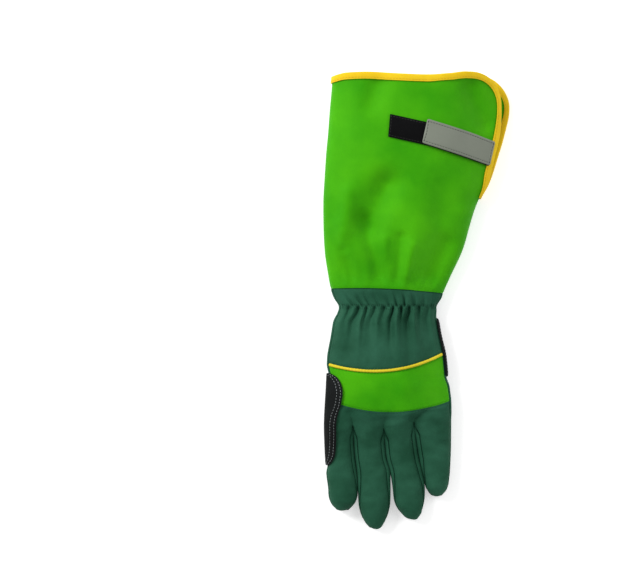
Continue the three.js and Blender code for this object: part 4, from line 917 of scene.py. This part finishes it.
patchOn("heelSuede", "heel_patch", heelPoint, turns(96, 0.533, 1), turns(54))
patchOn("ballSuede", "ball_patch", ballPoint, turns(28), turns(40, 0.185, 0.46))
patchOn("rootSuede", "root_patch", rootPoint, turns(110, -0.37, 0.458), turns(28))
patchOn("indexSuede", "index_patch", indexPoint, np.concatenate([turns(16, -1, 0)[:-1], turns(22)]),
        turns(76, 0.615, 1.305), patchRise + patchGap / 3, rows=(1.8, 5.2))

# Thumb: a flat bag under the palm, open into the hand through the palm's hole
thumb = {"columns": 72, "rows": 90, "end": 10, "capFrom": 0.77}
thumbShape = {
    "at": [0.2, 0.23, 0.32, 0.45, 0.57, 0.66, 0.74, 0.84, 0.92, 0.975, 1],
    "left": [-0.3, -0.385, -0.425, -0.438, -0.432, -0.39, -0.27, -0.17, -0.1, -0.04, 0.04],
    "right": [-0.2, -0.155, -0.115, -0.03, 0.055, 0.122, 0.178, 0.228, 0.232, 0.2, 0.14]}


def thumbPoint(angle, along):
    closing = ease(np.clip(np.minimum((along - 0.193) / 0.007, (1.007 - along) / 0.007), 0, 1))
    at = np.clip(along, 0.2, 1)
    y = -at * palmLength
    left, right = edgesOf(thumbShape, at)
    middle = (left + right) / 2
    x = middle + (right - left) / 2 * np.cos(angle) * closing
    under = capLift * ease((at - thumb["capFrom"] + 0.12) / 0.1)
    over = palmAt(x, y)[..., 2] - thumbGap - (patchRise + 0.1) * ease((at - 0.58) / 0.09)
    fromEnd = palmLength * np.minimum(at - 0.2, 1 - at)
    full = 0.35 + 0.65 * np.sqrt(np.maximum(0, 1 - (1 - np.minimum(1, fromEnd / thumb["end"])) ** 2))
    arch = np.clip(1.2 * signedPower(np.sin(angle), 0.75), -1, 1) * closing
    return np.stack([x, y, (over + under) / 2 + (over - under) / 2 * full * arch], -1)


thumbRows = np.concatenate([[0.193, 0.1965], turns(thumb["rows"], 0.2, 1), [1.0035, 1.007]])
thumbGrid = clothGrid(thumbPoint, turns(thumb["columns"], 0, -2 * pi), thumbRows, True, borders="")


def inThumbHole(p):
    middle = thumbPoint(np.full(len(p), pi / 2), np.clip(-p[:, 1] / palmLength, 0.2, 1))[:, 2] - 4
    return inHole(p) & (p[:, 2] > middle)


clothWall("thumbCloth", "thumb", "darkCloth", [thumbGrid], 0, handWall, (0.3, 10, 12, 9.1), dropped=inThumbHole)


def thumbCapPoint(angle, depth):
    start = thumb["capFrom"] + 0.05 * ((1 + np.cos(angle)) / 2)
    return thumbPoint(angle, mix(start, 0.975, depth))


patchOn("thumbCap", "cap_thumb", thumbCapPoint, turns(40, 1.05 * pi, 1.95 * pi), turns(32), capLift, 0.4,
        caps["sewnAt"], 0.2)

# Closing strap: a black loop pad, and a grey tab over it
pad = {"length": 52, "width": 20.6, "turn": -12.6, "slant": -5, "across": 0.475, "along": 0.7395, "corner": 0.6,
       "sunk": 0.1}
tab = {"length": 64.2, "width": 22.2, "turn": -17.2, "slant": -12.6, "across": 0.7024, "along": 0.694, "corner": 1.6,
       "sunk": 0.22}


def strapShape(size):
    along = np.array([cos(radians(size["turn"])), sin(radians(size["turn"]))])
    side = np.array([-sin(radians(size["slant"])), cos(radians(size["slant"]))])

    def place(u, v):
        past = np.maximum(0, np.abs(u) - (size["length"] / 2 - size["corner"]))
        room = size["width"] / 2 - size["corner"] + np.sqrt(np.maximum(0, size["corner"] ** 2 - past ** 2))
        v = v * room / (size["width"] / 2)
        return cuffSheet("upper", size["across"] * mouthWidth - seamWidth / 2 + along[0] * u + side[0] * v,
                         size["along"] * cuffLength + along[1] * u + side[1] * v)
    return place


def strapOn(name, node, finish, size, steps, lift, wall, edgeDip, edgeReach, groove=()):
    us, vs = (size[key] / 2 * np.sin(turns(count, -pi / 2, pi / 2)) for key, count in zip(("length", "width"), steps))
    grid = clothGrid(strapShape(size), us, vs)
    clothWall(name, node, finish, [grid], lift, wall, None, edgeDip, edgeReach, groove)
    for at, deep in groove:
        sewBorder("blackThread", grid, at, lift - size["sunk"])


strapOn("strapPad", "strap_pad", "blackLoops", pad, (60, 30), patchRise, patchWall, 0.35, 0.7, [(1.6, 0.18)])
tabLift = patchRise + 2 * patchGap + tabWall
strapOn("strapTab", "strap_tab", "greyTab", tab, (76, 36), tabLift, tabWall, 0.4, 0.6, [(2.1, 0.3)])
shadowLineDrop = 0.8  # so much of the black backing shows under the tab's lower edge, as a painted shadow line
# The tab's black backing is dropped below the tab's lower edge: the strip that shows there is painted shadow
backingAndShadow = dict(tab, along=tab["along"] - shadowLineDrop / cuffLength, length=tab["length"] - shadowLineDrop)
strapOn("tabBackingAndShadow", None, "blackLoops", backingAndShadow, (60, 16), tabLift - tabWall + 0.2, 0.7, 0.2, 0.5)


# Stitches: small rounded threads along the rows, and a zigzag over the elastic
def threadTree(name, values, kinds, wires):
    tree = bpy.data.node_groups.new(name, "GeometryNodeTree")
    kinds = {"given": ("NodeGroupInput", {}, {}), "made": ("NodeGroupOutput", {}, {}),
             "curve": ("GeometryNodeMeshToCurve", {}, {}), "real": ("GeometryNodeRealizeInstances", {}, {}),
             "finish": ("GeometryNodeSetMaterial", {}, {}), **kinds}
    for label, kind in (("Rows", "Geometry"), *((value, "Float") for value in values), ("Thread", "Material")):
        tree.interface.new_socket(label, in_out="INPUT", socket_type="NodeSocket" + kind)
    tree.interface.new_socket("Sewn", in_out="OUTPUT", socket_type="NodeSocketGeometry")
    wired(tree, kinds, wires + """,
        given.Rows > curve.Mesh, real.Geometry > finish.Geometry, given.Thread > finish.Material,
        finish.Geometry > made.Sewn""")
    return tree


def stitchTree():
    kinds = {"spaced": ("GeometryNodeResampleCurve", {"mode": "LENGTH"}, {}),
             "along": ("GeometryNodeInputTangent", {}, {}),
             "facing": ("GeometryNodeInputNamedAttribute", {"data_type": "FLOAT_VECTOR"}, {"Name": "facing"}),
             "aim": ("FunctionNodeAxesToRotation", {"primary_axis": "X", "secondary_axis": "Z"}, {}),
             "ball": ("GeometryNodeMeshUVSphere", {}, {"Segments": 8, "Rings": 5, "Radius": 0.5}),
             "size": ("ShaderNodeCombineXYZ", {}, {}), "shaped": ("GeometryNodeTransform", {}, {}),
             "uneven": ("FunctionNodeRandomValue", {"data_type": "FLOAT_VECTOR"},
                        {"Min": (0.9, 0.88, 0.9), "Max": (1.06, 1.1, 1.08), "Seed": 7}),
             "placed": ("GeometryNodeInstanceOnPoints", {}, {}), "smooth": ("GeometryNodeSetShadeSmooth", {}, {})}
    return threadTree("stitchRow", stitchSizes, kinds, """
        curve.Curve > spaced.Curve, given.Pitch > spaced.Length, along.Tangent > aim.Primary Axis,
        facing.Attribute > aim.Secondary Axis, given.Length > size.X, given.Width > size.Y, given.Height > size.Z,
        ball.Mesh > shaped.Geometry, size.Vector > shaped.Scale, spaced.Curve > placed.Points,
        shaped.Geometry > placed.Instance, aim.Rotation > placed.Rotation, uneven.Value > placed.Scale,
        placed.Instances > smooth.Geometry, smooth.Geometry > real.Geometry""")


def zigzagTree():
    kinds = {"ring": ("GeometryNodeCurvePrimitiveCircle", {}, {"Resolution": 7}),
             "tube": ("GeometryNodeCurveToMesh", {}, {"Fill Caps": True})}
    return threadTree("zigzagThread", ("Radius",), kinds, """
        given.Radius > ring.Radius, curve.Curve > tube.Curve, ring.Curve > tube.Profile Curve,
        tube.Mesh > real.Geometry""")


def threadPiece(name, rows, tree, thread, values):
    vertices, edges, facings = [], [], []
    for points, normals in rows:
        start = len(vertices)
        vertices += [tuple(p) for p in points]
        facings += [tuple(n) for n in normals]
        edges += [(start + k, start + k + 1) for k in range(len(points) - 1)]
    mesh = bpy.data.meshes.new(name)
    mesh.from_pydata(vertices, edges, [])
    facing = mesh.attributes.new("facing", "FLOAT_VECTOR", "POINT")
    facing.data.foreach_set("vector", np.array(facings, float).reshape(-1))
    piece = linked(name, mesh)
    modifier = piece.modifiers.new("thread", "NODES")
    modifier.node_group = tree
    values = {**values, "Thread": finishes[thread]}
    for item in tree.interface.items_tree:
        if item.item_type == "SOCKET" and item.in_out == "INPUT" and item.name in values:
            modifier[item.identifier] = values[item.name]
    graph = bpy.context.evaluated_depsgraph_get()
    result = bpy.data.meshes.new_from_object(piece.evaluated_get(graph), depsgraph=graph)
    piece.modifiers.remove(modifier)
    piece.data = result
    result.name = name
    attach(piece, "root")


stitchSizes = ("Pitch", "Length", "Width", "Height")
stitches = {"yellowThread": (0.0029, 0.0025, 0.00042, 0.00036), "greenThread": (0.0029, 0.0024, 0.0004, 0.00034),
            "darkThread": (0.0028, 0.0023, 0.0004, 0.00034), "paleThread": (0.0027, 0.0018, 0.00042, 0.00036),
            "blackThread": (0.0026, 0.0021, 0.0005, 0.0004)}
rowTree = stitchTree()
for thread, rows in threads.items():
    sizes = dict(zip(stitchSizes, stitches[thread]))
    threadPiece(thread[0].upper() + thread[1:] + "Stitches", rows, rowTree, thread, sizes)
zigRows = [((zigPoints + shift) / 1000, np.tile([0, 0, 1.0], (len(zigPoints), 1)))]
threadPiece("elasticZigzag", zigRows, zigzagTree(), "darkThread", {"Radius": zigzag["thread"] / 2000})

# Floor, light and the camera straight above, as in the photograph
studio = {"floorReach": 3, "floorLevel": -0.0004, "floorTone": 0.9, "floorGlow": 0.4, "world": 0.5, "lens": 110}
lamps = {"key": (30, 0.8, (-1.25, 0.85, 1.0)), "fill": (13, 1.6, (1.3, 0.6, 1.3))}  # power, size and place
scene = bpy.context.scene
scene.view_settings.view_transform = "Standard"
floorMesh = bpy.data.meshes.new("floor")
floorMesh.from_pydata([(studio["floorReach"] * x, studio["floorReach"] * y, studio["floorLevel"])
                       for x, y in ((-1, -1), (1, -1), (1, 1), (-1, 1))], [], [(0, 1, 2, 3)])
floor = linked("floor", floorMesh)
floorPaint = bpy.data.materials.new("floorPaint")
floorPaint.use_nodes = True
for socket, value in (("Base Color", (*[studio["floorTone"]] * 3, 1)), ("Roughness", 0.9),
                      ("Emission Color", (1, 1, 1, 1)), ("Emission Strength", studio["floorGlow"])):
    floorPaint.node_tree.nodes["Principled BSDF"].inputs[socket].default_value = value
floorMesh.materials.append(floorPaint)
world = bpy.data.worlds.new("studio")
world.use_nodes = True
world.node_tree.nodes["Background"].inputs["Color"].default_value = (1, 1, 1, 1)
world.node_tree.nodes["Background"].inputs["Strength"].default_value = studio["world"]
scene.world = world
for label, (power, size, place) in lamps.items():
    lamp = bpy.data.lights.new(label, "AREA")
    lamp.energy, lamp.size = power, size
    lampObject = linked(label, lamp)
    lampObject.location = place
    lampObject.rotation_euler = (-lampObject.location).to_track_quat("-Z", "Y").to_euler()
lens = bpy.data.cameras.new("camera")
lens.lens, lens.sensor_width = studio["lens"], 36
camera = linked("camera", lens)
camera.location = (-0.0883, 0.0189, 1.807)
scene.camera = camera
